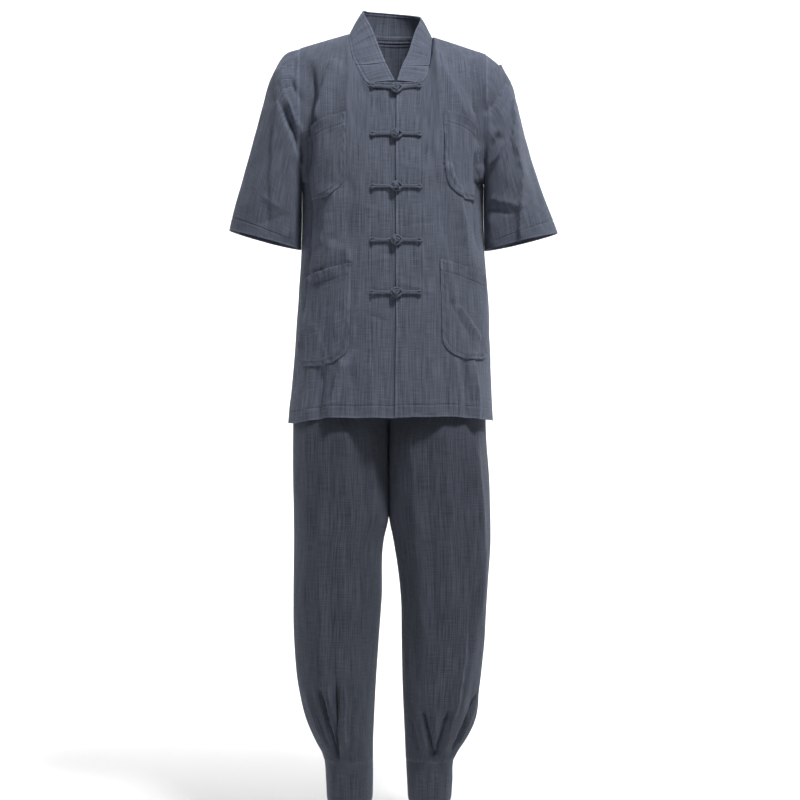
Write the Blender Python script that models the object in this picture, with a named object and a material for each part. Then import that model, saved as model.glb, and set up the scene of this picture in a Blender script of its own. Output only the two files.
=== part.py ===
"""Short-sleeved jacket with five frog fastenings and trousers pleated into ankle cuffs.

The suit stands in its worn, hollow form. X runs to the wearer's left, -Y is the
front and the origin lies between the shoulders at the base of the neck.
"""

import math

import bmesh
import bpy
import numpy as np
from mathutils.bvhtree import BVHTree

# Cloth walls and gaps
WALL = 0.0016
BAND_WALL = 0.0022
POCKET_WALL = 0.0013
SEAM_GAP = 0.0003
LAP_DEPTH = 0.0025

# Jacket body
BODY_SQUARENESS = 2.35
HALF_GIRTH = 0.243
CHEST_HALF_WIDTH = 0.174
CHEST_HALF_DEPTH = 0.127
UNDERARM_Z = -0.285
YOKE_ROUNDNESS = 2.15
FRONT_FALL = 1.4
BACK_FALL = 1.8
NECK_GIRTH = 0.37
ARMHOLE_EASE = 2.4
FRONT_TIP_GIRTH = 0.19
FRONT_TOP_Y = -0.0985
FRONT_TOP_Z = -0.1085
SHOULDER_Y = 0.006
SHOULDER_X = 0.177
UNDERLAP = 0.030
EDGE_X = 0.0062
EDGE_HEM_SHARE = 0.66
LAP_START_X = -0.016
LAP_END_X = -0.004
SLIT_TOP_Z = -0.650
SLIT_FOOT_Z = -0.735
SLIT_HALF_WIDTH = 0.003

# Columns: height, width to the right, width to the left, front depth, back depth
BODY_SECTIONS = np.array(
    [
        (-0.745, 0.1990, 0.1905, 0.1340, 0.1300),
        (-0.735, 0.1985, 0.1900, 0.1340, 0.1300),
        (-0.667, 0.1920, 0.1865, 0.1330, 0.1290),
        (-0.600, 0.1860, 0.1840, 0.1320, 0.1260),
        (-0.520, 0.1805, 0.1820, 0.1310, 0.1210),
        (-0.412, 0.1745, 0.1740, 0.1290, 0.1160),
        (-0.340, 0.1730, 0.1720, 0.1270, 0.1160),
        (-0.285, 0.1735, 0.1725, 0.1250, 0.1180),
    ]
)

# Columns: share of the half front, height of the hem there on the right and on the left
FRONT_HEM = np.array(
    [
        (-0.20, -0.7300, -0.7285),
        (0.00, -0.7300, -0.7285),
        (0.44, -0.7290, -0.7275),
        (0.60, -0.7360, -0.7310),
        (0.75, -0.7405, -0.7345),
        (1.00, -0.7405, -0.7370),
    ]
)
BACK_HEM_CENTRE_Z = -0.7360
BACK_HEM_SIDE_Z = -0.7310

# Rows run from the right tip of the V round the back to the left tip.
# Columns: seam x, y, z, then free edge x, y, z
COLLAR_SECTIONS = np.array(
    [
        (-0.0460, -0.0900, -0.1076, 0.0040, -0.0975, -0.1045),
        (-0.0580, -0.0765, -0.0905, -0.0135, -0.0700, -0.0655),
        (-0.0758, -0.0450, -0.0516, -0.0240, -0.0480, -0.0370),
        (-0.0825, -0.0200, -0.0200, -0.0400, -0.0180, 0.0080),
        (-0.0836, 0.0050, 0.0000, -0.0572, 0.0120, 0.0465),
        (-0.0640, 0.0460, 0.0010, -0.0460, 0.0440, 0.0520),
        (0.0000, 0.0720, 0.0010, 0.0000, 0.0630, 0.0520),
        (0.0610, 0.0440, -0.0020, 0.0430, 0.0420, 0.0440),
        (0.0741, 0.0040, -0.0057, 0.0533, 0.0110, 0.0331),
        (0.0735, -0.0210, -0.0260, 0.0410, -0.0180, 0.0000),
        (0.0715, -0.0470, -0.0554, 0.0290, -0.0460, -0.0420),
        (0.0640, -0.0765, -0.0905, 0.0175, -0.0700, -0.0700),
        (0.0530, -0.0900, -0.1076, 0.0075, -0.0975, -0.1045),
    ]
)
FRONT_NECK_KEYS = (0.0, 0.5, 1.0, 1.5, 2.0, 3.0, 4.0)
BACK_NECK_KEYS = (4.0, 4.5, 5.0, 5.5, 6.0, 6.5, 7.0, 7.5, 8.0)
NECK_KEY_RIGHT = 4.0
NECK_KEY_LEFT = 8.0
LAST_KEY = 12.0
COLLAR_ROWS = 3
COLLAR_CROWN = 0.0020
COLLAR_TRIM = 0.017
COLLAR_END_KEYS = np.array([1.0, 11.0])
COLLAR_END_LEVEL = 0.62

# Columns: share of the length, outer x, outer z, inner x, inner z, half depth
SLEEVE_RIGHT = np.array(
    [
        (0.00, 0.1770, -0.0265, 0.1735, -0.2850, 0.0670),
        (0.13, 0.2085, -0.0410, 0.1762, -0.2930, 0.0700),
        (0.27, 0.2340, -0.0850, 0.1772, -0.3050, 0.0710),
        (0.42, 0.2500, -0.1380, 0.1776, -0.3210, 0.0700),
        (0.62, 0.2745, -0.2260, 0.1780, -0.3500, 0.0670),
        (0.82, 0.2990, -0.3150, 0.1784, -0.3850, 0.0620),
        (1.00, 0.3126, -0.3740, 0.1788, -0.4110, 0.0570),
    ]
)
SLEEVE_LEFT = np.array(
    [
        (0.00, 0.1770, -0.0380, 0.1725, -0.2850, 0.0670),
        (0.13, 0.2080, -0.0640, 0.1755, -0.2930, 0.0700),
        (0.27, 0.2285, -0.0980, 0.1765, -0.3050, 0.0710),
        (0.42, 0.2395, -0.1460, 0.1770, -0.3210, 0.0700),
        (0.62, 0.2635, -0.2310, 0.1775, -0.3500, 0.0670),
        (0.82, 0.2930, -0.3200, 0.1780, -0.3860, 0.0620),
        (1.00, 0.3145, -0.3790, 0.1785, -0.4130, 0.0570),
    ]
)
SLEEVE_SPREAD = 0.8

# Columns: side (-1 right), inner girth share, outer girth share, mouth height inside,
# mouth height outside, foot height, inner corner width, inner corner height, lift
POCKETS = {
    "pocket_chest_right": (-1, 0.357, 0.790, -0.1640, -0.1900, -0.3225, 0.55, 0.0520, 0.0018),
    "pocket_chest_left": (1, 0.400, 0.815, -0.1615, -0.1800, -0.3235, 0.45, 0.0600, 0.0013),
    "pocket_lower_right": (-1, 0.312, 0.780, -0.4440, -0.4710, -0.6340, 0.55, 0.0400, 0.0018),
    "pocket_lower_left": (1, 0.355, 0.790, -0.4375, -0.4660, -0.6205, 0.50, 0.0420, 0.0013),
}
POCKET_OUTER_CORNER = 0.018
POCKET_OUTER_BEND = 0.2
POCKET_STEP = 0.0030

# Frog fastenings
FROG_X = 0.0060
FROG_HEIGHTS = (-0.1190, -0.2055, -0.3035, -0.4025, -0.4990)
FROG_HALF_SPAN = 0.0460
FROG_CORD = 0.0017
FROG_LIFT = 0.0003
FROG_REACH = 0.0040
FROG_TOP_DROP = 0.0060
KNOT_STATIONS = (
    # distance from the outer end, half height, half depth
    (0.0000, 0.0016, 0.0008),
    (0.0016, 0.0042, 0.0019),
    (0.0052, 0.0042, 0.0020),
    (0.0078, 0.0030, 0.0017),
    (0.0240, 0.0030, 0.0017),
    (0.0375, 0.0028, 0.0018),
    (0.0400, 0.0034, 0.0026),
    (0.0425, 0.0052, 0.0044),
    (0.0460, 0.0064, 0.0056),
    (0.0495, 0.0054, 0.0044),
    (0.0518, 0.0022, 0.0018),
)
LOOP_WIDE = 0.0094
LOOP_GAP = 0.0004
LOOP_RISE = 0.0070

# Trousers
TROUSER_SQUARENESS = 2.3
TROUSER_MIDDLE_X = -0.0080
RISE_TOP_Z = -0.6400
CROTCH_Z = -0.7750
LEG_PARTING = 0.0009
LEG_DEPTH_SHARE = 0.93
KNEE_Z = -1.2000
LEG_TOP_Z = -0.4303
CUFF_TOP_Z = -1.3790
CUFF_FOOT_Z = -1.4560
WAISTBAND_TOP_Z = -0.3950
WAISTBAND_FOOT_Z = -0.4300
TROUSER_COLUMNS = 12

# Columns: height, right outer x, right inner x, left inner x, left outer x,
# right half depth, left half depth
TROUSER_SECTIONS = np.array(
    [
        (-0.390, -0.1480, -0.0085, -0.0085, 0.1330, 0.1010, 0.1010),
        (-0.430, -0.1500, -0.0085, -0.0085, 0.1350, 0.1030, 0.1030),
        (-0.500, -0.1600, -0.0085, -0.0085, 0.1480, 0.1080, 0.1080),
        (-0.560, -0.1775, -0.0085, -0.0085, 0.1735, 0.1120, 0.1120),
        (-0.600, -0.1836, -0.0085, -0.0085, 0.1815, 0.1140, 0.1140),
        (-0.650, -0.1870, -0.0085, -0.0085, 0.1810, 0.1160, 0.1160),
        (-0.739, -0.1900, -0.0080, -0.0080, 0.1767, 0.1180, 0.1180),
        (-0.849, -0.1900, -0.0085, -0.0077, 0.1830, 0.1120, 0.1120),
        (-0.944, -0.1885, -0.0165, -0.0005, 0.1856, 0.1050, 0.1060),
        (-1.077, -0.1895, -0.0215, 0.0150, 0.1770, 0.0970, 0.0970),
        (-1.153, -0.1880, -0.0270, 0.0163, 0.1740, 0.0920, 0.0920),
        (-1.248, -0.1786, -0.0333, 0.0184, 0.1640, 0.0880, 0.0870),
        (-1.305, -0.1645, -0.0361, 0.0209, 0.1565, 0.0830, 0.0800),
        (-1.347, -0.1455, -0.0378, 0.0228, 0.1355, 0.0720, 0.0660),
        (-1.366, -0.1352, -0.0380, 0.0236, 0.1225, 0.0640, 0.0550),
        (-1.379, -0.1315, -0.0380, 0.0243, 0.1165, 0.0600, 0.0500),
        (-1.420, -0.1275, -0.0380, 0.0266, 0.1132, 0.0590, 0.0490),
        (-1.460, -0.1258, -0.0388, 0.0285, 0.1108, 0.0580, 0.0490),
    ]
)

# Columns: start x, start z, end x, end z, half width, height out of the cloth
JACKET_FRONT_FOLDS = (
    (-0.107, -0.060, -0.147, -0.190, 0.017, 0.0070),
    (-0.147, -0.190, -0.161, -0.292, 0.015, 0.0060),
    (-0.163, -0.080, -0.163, -0.270, 0.010, -0.0070),
    (-0.106, -0.306, -0.131, -0.385, 0.018, 0.0050),
    (-0.131, -0.385, -0.146, -0.464, 0.018, 0.0060),
    (-0.137, -0.330, -0.160, -0.440, 0.012, -0.0040),
    (-0.078, -0.609, -0.112, -0.680, 0.014, 0.0050),
    (-0.112, -0.680, -0.120, -0.742, 0.014, 0.0060),
    (0.068, -0.060, 0.165, -0.193, 0.012, 0.0045),
    (0.100, -0.060, 0.168, -0.160, 0.010, -0.0040),
    (0.118, -0.306, 0.129, -0.376, 0.016, 0.0050),
    (0.129, -0.376, 0.151, -0.470, 0.018, 0.0060),
    (0.150, -0.640, 0.156, -0.742, 0.013, 0.0050),
    (0.060, -0.560, 0.070, -0.740, 0.022, 0.0030),
)
JACKET_BACK_FOLDS = (
    (-0.105, -0.140, -0.130, -0.740, 0.026, 0.0055),
    (-0.045, -0.330, -0.060, -0.745, 0.022, -0.0045),
    (0.020, -0.300, 0.026, -0.745, 0.026, 0.0045),
    (0.080, -0.400, 0.092, -0.745, 0.020, -0.0045),
    (0.110, -0.150, 0.134, -0.740, 0.024, 0.0055),
    (-0.150, -0.110, -0.090, -0.280, 0.018, -0.0050),
    (0.150, -0.110, 0.090, -0.270, 0.018, -0.0050),
)
SLEEVE_FRONT_FOLDS = (
    (-0.205, -0.100, -0.190, -0.200, 0.013, -0.0060),
    (-0.245, -0.150, -0.270, -0.330, 0.020, 0.0040),
    (0.218, -0.115, 0.190, -0.190, 0.014, -0.0070),
    (0.228, -0.150, 0.240, -0.380, 0.014, 0.0060),
)
SLEEVE_BACK_FOLDS = (
    (-0.220, -0.120, -0.200, -0.260, 0.016, -0.0060),
    (-0.250, -0.180, -0.270, -0.370, 0.018, 0.0040),
    (0.215, -0.120, 0.198, -0.260, 0.016, -0.0060),
    (0.240, -0.170, 0.255, -0.370, 0.018, 0.0050),
)
TROUSER_FRONT_FOLDS = (
    (-0.140, -0.826, -0.142, -1.250, 0.020, 0.0050),
    (-0.070, -0.760, -0.085, -1.150, 0.022, -0.0035),
    (0.160, -0.752, 0.168, -1.066, 0.014, 0.0045),
    (0.168, -1.066, 0.130, -1.290, 0.014, 0.0045),
    (0.060, -0.800, 0.070, -1.230, 0.026, 0.0040),
    (-0.134, -1.240, -0.107, -1.375, 0.009, -0.0080),
    (-0.106, -1.235, -0.102, -1.375, 0.008, -0.0070),
    (-0.121, -1.250, -0.110, -1.350, 0.008, 0.0050),
    (0.061, -1.290, 0.076, -1.375, 0.009, -0.0080),
    (0.102, -1.288, 0.080, -1.375, 0.009, -0.0080),
    (0.154, -1.245, 0.112, -1.365, 0.010, -0.0080),
)
TROUSER_BACK_FOLDS = (
    (-0.120, -0.830, -0.125, -1.250, 0.022, 0.0050),
    (0.115, -0.830, 0.110, -1.250, 0.022, 0.0050),
    (-0.125, -1.240, -0.105, -1.375, 0.011, -0.0080),
    (-0.080, -1.250, -0.085, -1.375, 0.011, -0.0080),
    (0.050, -1.260, 0.060, -1.375, 0.011, -0.0080),
    (0.105, -1.250, 0.090, -1.375, 0.011, -0.0080),
)
FOLD_FADE_DEPTH = 0.030
FOLD_END_SHARE = 0.25
FOLD_BODY_HALF_WIDTH = 0.18
FOLD_BODY_HALF_DEPTH = 0.13
FOLD_YOKE_LIFT = 8.0
FOLD_LEG_WIDTH_SHARE = 0.4
FOLD_SEAM_SHARE = 0.12

# Grid steps
YOKE_ROWS = 10
BODY_ROWS = 12
SIDE_COLUMNS = (0.47, 0.57, 0.67, 0.77, 0.86, 0.93, 1.0)
SLEEVE_ROWS = 10
BAND_SEGMENTS = 28

# Colours, roughness
JACKET_COLOUR = (0.092, 0.105, 0.140)
TROUSER_COLOUR = (0.050, 0.058, 0.078)
TRIM_COLOUR = (0.070, 0.080, 0.108)
CLOTH_ROUGHNESS = 0.92


def cloth_material(name, colour):
    material = bpy.data.materials.new(name)
    material.use_nodes = True
    shader = material.node_tree.nodes["Principled BSDF"]
    shader.inputs["Base Color"].default_value = (*colour, 1.0)
    shader.inputs["Roughness"].default_value = CLOTH_ROUGHNESS
    shader.inputs["Metallic"].default_value = 0.0
    return material


def smooth_rows(table, positions, at):
    """Values of the table's columns at the positions asked, on smooth curves."""
    at = np.asarray(at, float)
    slopes = np.gradient(table, positions, axis=0)
    index = np.clip(np.searchsorted(positions, at) - 1, 0, len(positions) - 2)
    step = positions[index + 1] - positions[index]
    share = (at - positions[index]) / step
    share, step = share[..., None], step[..., None]
    first, second = table[index], table[index + 1]
    start = slopes[index] * step
    end = slopes[index + 1] * step
    cube, square = share**3, share**2
    return (
        (2 * cube - 3 * square + 1) * first
        + (cube - 2 * square + share) * start
        + (3 * square - 2 * cube) * second
        + (cube - square) * end
    )


def by_height(table, z):
    """Columns of a table that falls or rises with height, at the height z."""
    rows = table[np.argsort(table[:, 0])]
    return smooth_rows(rows[:, 1:], rows[:, 0], z)


def soft_step(value):
    share = np.clip(value, 0.0, 1.0)
    return share * share * (3 - 2 * share)


def power(value, exponent):
    return np.sign(value) * np.abs(value) ** exponent


def girth_angles():
    """Angle round the body for each share of its half girth."""
    angles = np.linspace(0, math.pi / 2, 400)
    exponent = 2 / BODY_SQUARENESS
    x = CHEST_HALF_WIDTH * power(np.sin(angles), exponent)
    y = CHEST_HALF_DEPTH * power(np.cos(angles), exponent)
    lengths = np.concatenate([[0], np.cumsum(np.hypot(np.diff(x), np.diff(y)))])
    return lengths / lengths[-1], angles


GIRTH_SHARES, GIRTH_ANGLES = girth_angles()


def girth_angle(share):
    return np.sign(share) * np.interp(np.abs(share), GIRTH_SHARES, GIRTH_ANGLES)


def body_point(side, facing, share, z):
    """Point of the jacket body: facing is -1 in front and 1 behind."""
    right, left, front, back = by_height(BODY_SECTIONS, z)
    angle = girth_angle(share)
    exponent = 2 / BODY_SQUARENESS
    across = side * power(math.sin(angle), exponent)
    width = right if across < 0 else left
    depth = front if facing < 0 else back
    return np.array([across * width, facing * depth * math.cos(angle) ** exponent, z])


def collar_point(key, share):
    """Point of the collar band, from its seam (0) to its free edge (1)."""
    keys = np.arange(len(COLLAR_SECTIONS), dtype=float)
    row = smooth_rows(COLLAR_SECTIONS, keys, key)
    seam, edge = row[:3], row[3:]
    outward = np.array([seam[0] + edge[0], seam[1] + edge[1], 0.0])
    outward /= max(np.linalg.norm(outward), 1e-6)
    bow = COLLAR_CROWN * math.sin(math.pi * share)
    return seam + (edge - seam) * share + outward * bow


def neck_key(side, share):
    """Collar key above a column of a front panel."""
    shares = np.linspace(FRONT_TIP_GIRTH, NECK_GIRTH, len(FRONT_NECK_KEYS))
    key = np.interp(share, shares, FRONT_NECK_KEYS)
    return key if side < 0 else LAST_KEY - key


def shoulder_point(side):
    table = SLEEVE_RIGHT if side < 0 else SLEEVE_LEFT
    return np.array([side * table[0, 1], SHOULDER_Y, table[0, 2]])


def top_point(side, facing, share):
    """Upper end of a column: on the neckline or on the shoulder seam."""
    neck = collar_point(NECK_KEY_RIGHT if side < 0 else NECK_KEY_LEFT, 0.0)
    if share >= NECK_GIRTH:
        along = (share - NECK_GIRTH) / (1 - NECK_GIRTH)
        return neck + (shoulder_point(side) - neck) * along
    if facing > 0:
        shares = np.linspace(-NECK_GIRTH, NECK_GIRTH, len(BACK_NECK_KEYS))
        return collar_point(np.interp(side * share, shares, BACK_NECK_KEYS), 0.0)
    if share >= FRONT_TIP_GIRTH:
        return collar_point(neck_key(side, share), 0.0)
    if share < 0:
        return top_point(-side, facing, -share)
    tip = collar_point(0.0 if side < 0 else LAST_KEY, 0.0)
    middle = np.array([0.0, FRONT_TOP_Y, FRONT_TOP_Z])
    return middle + (tip - middle) * (share / FRONT_TIP_GIRTH)


def sleeve_ring(side, facing, length, turn):
    """Point of a sleeve at a share of its length; turn is 0 outside, pi below."""
    table = SLEEVE_RIGHT if side < 0 else SLEEVE_LEFT
    row = smooth_rows(table[:, 1:], table[:, 0], length)
    outer = np.array([side * row[0], SHOULDER_Y, row[1]])
    inner = np.array([side * row[2], 0.0, row[3]])
    middle, half = (outer + inner) / 2, (outer - inner) / 2
    return middle + half * math.cos(turn) + np.array([0, facing * row[4] * math.sin(turn), 0])


def sleeve_turn(share):
    """Turn round the armhole at a share of the way up from the underarm."""
    return math.pi * (1 - share**SLEEVE_SPREAD)


def yoke_point(side, facing, share, rise):
    """Point above the underarm, at a share of the way up its column."""
    angle = rise * math.pi / 2
    lift = math.sin(angle) ** (2 / YOKE_ROUNDNESS)
    rounded = math.cos(angle) ** (2 / YOKE_ROUNDNESS) if rise < 1 else 0.0
    sloped = 1 - lift ** (FRONT_FALL if facing < 0 else BACK_FALL)

    def column(at):
        foot = body_point(side, facing, at, UNDERARM_Z)
        head = top_point(side, facing, at)
        over = soft_step((abs(at) - FRONT_TIP_GIRTH) / (NECK_GIRTH - FRONT_TIP_GIRTH))
        level = sloped + (rounded - sloped) * over
        point = head + (foot - head) * level
        point[2] = foot[2] + (head[2] - foot[2]) * lift
        return point

    point = column(share)
    weight = max(0.0, (share - NECK_GIRTH) / (1 - NECK_GIRTH)) ** ARMHOLE_EASE
    armhole = sleeve_ring(side, facing, 0.0, sleeve_turn(rise))
    return point + weight * (armhole - column(1.0))


def rise_at(side, facing, share, z):
    """Share of the way up a yoke column at the height z."""
    head = top_point(side, facing, share)[2]
    lift = np.clip((z - UNDERARM_Z) / (head - UNDERARM_Z), 0, 1)
    return math.asin(lift ** (YOKE_ROUNDNESS / 2)) / (math.pi / 2)


def jacket_point(side, facing, share, z):
    if z <= UNDERARM_Z:
        return body_point(side, facing, share, z)
    return yoke_point(side, facing, share, rise_at(side, facing, share, z))


def fold_push(point, front_folds, back_folds):
    """Height of the folds at a point, faded out towards the sides."""
    folds = front_folds if point[1] < 0 else back_folds
    fade = soft_step(abs(point[1]) / FOLD_FADE_DEPTH)
    place = np.array([point[0], point[2]])
    total = 0.0
    for x0, z0, x1, z1, width, height in folds:
        start, run = np.array([x0, z0]), np.array([x1 - x0, z1 - z0])
        along = np.dot(place - start, run) / np.dot(run, run)
        away = abs(run[0] * (place - start)[1] - run[1] * (place - start)[0])
        away /= np.linalg.norm(run) * width
        start_fade = soft_step(along / FOLD_END_SHARE + 0.5)
        end_fade = soft_step((1 - along) / FOLD_END_SHARE + 0.5)
        total += height * math.exp(-away * away) * start_fade * end_fade
    return total * fade


def folded_jacket(point):
    """Point pushed out by the folds, outwards from the body and upwards on the yoke."""
    lift = FOLD_YOKE_LIFT * soft_step((point[2] - UNDERARM_Z) / 0.25)
    across = point[0] / FOLD_BODY_HALF_WIDTH**2
    way = np.array([across, point[1] / FOLD_BODY_HALF_DEPTH**2, lift])
    way /= max(np.linalg.norm(way), 1e-6)
    edge = soft_step((SHOULDER_X - abs(point[0])) / 0.02) if point[2] > UNDERARM_Z else 1.0
    top = soft_step((-0.03 - point[2]) / 0.03)
    return point + way * fold_push(point, JACKET_FRONT_FOLDS, JACKET_BACK_FOLDS) * edge * top


def grid_normals(grid, closed):
    """Unit normals of a grid of points, from its neighbours."""
    along = np.gradient(grid, axis=0)
    if closed:
        across = (np.roll(grid, -1, axis=1) - np.roll(grid, 1, axis=1)) / 2
    else:
        across = np.gradient(grid, axis=1)
    normals = np.cross(across, along)
    return normals / np.maximum(np.linalg.norm(normals, axis=2, keepdims=True), 1e-12)


def sheet(name, grid, wall, material, closed=False, lift=0.0, seams=()):
    """One closed cloth piece: the grid is its outer face, the wall lies behind it.

    Along a seam (rows, columns, axis) the wall runs square to that axis.
    """
    grid = np.asarray(grid, float)
    normals = grid_normals(grid, closed)
    for rows, columns, axis in seams:
        normals[rows, columns, axis] = 0.0
    normals /= np.maximum(np.linalg.norm(normals, axis=2, keepdims=True), 1e-12)
    outer = grid + normals * lift
    inner = outer - normals * wall
    rows, columns = grid.shape[:2]
    mesh = bmesh.new()
    faces_of = []
    for layer in (outer, inner):
        faces_of.append([[mesh.verts.new(p) for p in row] for row in layer])
    front, back = faces_of
    last = columns if closed else columns - 1
    for r in range(rows - 1):
        for c in range(last):
            d = (c + 1) % columns
            mesh.faces.new((front[r][c], front[r][d], front[r + 1][d], front[r + 1][c]))
            mesh.faces.new((back[r][c], back[r + 1][c], back[r + 1][d], back[r][d]))
    for c in range(last):
        d = (c + 1) % columns
        mesh.faces.new((front[0][c], back[0][c], back[0][d], front[0][d]))
        mesh.faces.new((front[-1][c], front[-1][d], back[-1][d], back[-1][c]))
    if not closed:
        for r in range(rows - 1):
            mesh.faces.new((front[r][0], front[r + 1][0], back[r + 1][0], back[r][0]))
            mesh.faces.new((front[r][-1], back[r][-1], back[r + 1][-1], front[r + 1][-1]))
    return finish_mesh(name, mesh, material)


def finish_mesh(name, mesh, material):
    bmesh.ops.triangulate(mesh, faces=mesh.faces[:])
    bmesh.ops.recalc_face_normals(mesh, faces=mesh.faces[:])
    data = bpy.data.meshes.new(name)
    mesh.to_mesh(data)
    mesh.free()
    data.materials.append(material)
    piece = bpy.data.objects.new(name, data)
    bpy.context.scene.collection.objects.link(piece)
    data.shade_smooth()
    data.set_sharp_from_angle(angle=math.radians(50))
    return piece


def tree_of(piece):
    data = piece.data
    points = [vertex.co[:] for vertex in data.vertices]
    return BVHTree.FromPolygons(points, [face.vertices[:] for face in data.polygons])


def front_hem(side, share):
    """Height of a front panel's hem at a column."""
    return np.interp(share, FRONT_HEM[:, 0], FRONT_HEM[:, 1 if side < 0 else 2])


def edge_share(share, z):
    """Girth share of the left front's opening edge, which swings back towards the hem."""
    swing = EDGE_HEM_SHARE + (1 - EDGE_HEM_SHARE) * soft_step((z - SLIT_FOOT_Z) / 0.25)
    return share * swing


def slit_share(z):
    """Girth share of a panel's side edge, with the slit opening below."""
    opening = SLIT_HALF_WIDTH * soft_step((SLIT_TOP_Z - z) / (SLIT_TOP_Z - SLIT_FOOT_Z))
    return 1.0 - (SEAM_GAP / 2 + opening) / HALF_GIRTH


def front_panel(name, side, first_shares, material):
    """A jacket front, from its opening edge to the side seam and armhole."""
    neck = np.linspace(FRONT_TIP_GIRTH, NECK_GIRTH, len(FRONT_NECK_KEYS))
    shares = [*first_shares, *neck, *SIDE_COLUMNS]
    columns = []
    for share in shares:
        column = []
        for z in np.linspace(front_hem(side, share), UNDERARM_Z, BODY_ROWS + 1)[:-1]:
            at = min(share, slit_share(z))
            if side > 0 and share == first_shares[0]:
                at = edge_share(share, z)
            column.append(body_point(side, -1, at, z))
        for rise in np.linspace(0, 1, YOKE_ROWS + 1):
            column.append(yoke_point(side, -1, share, rise))
        columns.append(column)
    grid = np.array(columns).transpose(1, 0, 2)
    for row in grid:
        for index, point in enumerate(row):
            row[index] = folded_jacket(point)
            if side < 0:
                depth = soft_step((point[0] - LAP_START_X) / (LAP_END_X - LAP_START_X))
                row[index][1] += LAP_DEPTH * depth
    grid[-1, :, 1] -= SEAM_GAP / 2
    shoulder = len(SIDE_COLUMNS) + 1
    if side < 0:
        seams = ((-1, slice(0, shoulder), 1), (slice(0, BODY_ROWS + 1), 0, 1))
        seams += ((slice(BODY_ROWS + 1, None), 0, 0),)
        return sheet(name, grid[:, ::-1], WALL, material, seams=seams)
    seams = ((-1, slice(-shoulder, None), 1), (slice(0, BODY_ROWS + 1), -1, 1))
    seams += ((slice(BODY_ROWS + 1, None), -1, 0),)
    return sheet(name, grid, WALL, material, seams=seams)


def back_panel(name, material):
    neck = np.linspace(0, NECK_GIRTH, 5)
    half = [*neck[1:], *SIDE_COLUMNS]
    shares = [-s for s in reversed(half)] + [0.0] + half
    columns = []
    for signed in shares:
        side, share = (-1 if signed < 0 else 1), abs(signed)
        hem = BACK_HEM_CENTRE_Z + (BACK_HEM_SIDE_Z - BACK_HEM_CENTRE_Z) * share**2
        column = []
        for z in np.linspace(hem, UNDERARM_Z, BODY_ROWS + 1)[:-1]:
            column.append(body_point(side, 1, min(share, slit_share(z)), z))
        for rise in np.linspace(0, 1, YOKE_ROWS + 1):
            column.append(yoke_point(side, 1, share, rise))
        columns.append([folded_jacket(point) for point in column])
    grid = np.array(columns).transpose(1, 0, 2)
    grid[-1, :, 1] += SEAM_GAP / 2
    shoulder = len(SIDE_COLUMNS) + 1
    seams = ((-1, slice(0, shoulder), 1), (-1, slice(-shoulder, None), 1))
    for edge in (0, -1):
        seams += ((slice(0, BODY_ROWS + 1), edge, 1), (slice(BODY_ROWS + 1, None), edge, 0))
    return sheet(name, grid[:, ::-1], WALL, material, seams=seams)


def sleeve(name, side, material):
    turns_front = [sleeve_turn(r) for r in np.linspace(0, 1, YOKE_ROWS + 1)]
    ring = [(-1, turn) for turn in turns_front]
    ring += [(1, turn) for turn in reversed(turns_front[1:-1])]
    grid = []
    for length in np.linspace(0, 1, SLEEVE_ROWS + 1):
        row = []
        for facing, turn in ring:
            point = sleeve_ring(side, facing, length, turn)
            point[0] += side * SEAM_GAP * (1 if length == 0 else 0)
            middle = (sleeve_ring(side, 1, length, 0) + sleeve_ring(side, 1, length, math.pi)) / 2
            way = point - middle
            way /= np.linalg.norm(way)
            push = fold_push(point, SLEEVE_FRONT_FOLDS, SLEEVE_BACK_FOLDS)
            row.append(point + way * push * soft_step(length / 0.2))
        grid.append(row)
    grid = np.array(grid)
    grid = grid if side < 0 else grid[:, ::-1]
    return sheet(name, grid, WALL, material, closed=True, seams=((0, slice(None), 0),))


def levelled_key(key, share):
    """Collar key moved round near the end seams, so that these run level."""
    near = np.clip(1 - np.abs(key - COLLAR_END_KEYS), 0, 1)
    return key + COLLAR_END_LEVEL * (1 - share) * (near[0] - near[1])


def collar_piece(name, keys, material):
    shares = np.linspace(COLLAR_TRIM, 1, COLLAR_ROWS + 1)
    grid = np.array([[collar_point(levelled_key(k, s), s) for k in keys] for s in shares])
    return sheet(name, grid[:, ::-1], BAND_WALL, material)


def panel_heights(side, share):
    """Heights of a front panel's rows at a column, from the hem to its top."""
    body = np.linspace(front_hem(side, share), UNDERARM_Z, BODY_ROWS + 1)[:-1]
    yoke = [yoke_point(side, -1, share, r)[2] for r in np.linspace(0, 1, YOKE_ROWS + 1)]
    return np.array([*body, *yoke])


def pocket_span(row, share):
    """Foot and mouth height of a pocket at a column."""
    _, inner, outer, top_in, top_out, foot, corner, corner_height, _ = row
    q = (share - inner) / (outer - inner)
    bend_in = max(0.0, 1 - q / corner)
    bend_out = max(0.0, 1 - (1 - q) / POCKET_OUTER_BEND)
    low = foot + corner_height * (1 - math.sqrt(1 - bend_in**2))
    low += POCKET_OUTER_CORNER * (1 - math.sqrt(1 - bend_out**2))
    return low, top_in + (top_out - top_in) * q


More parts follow.
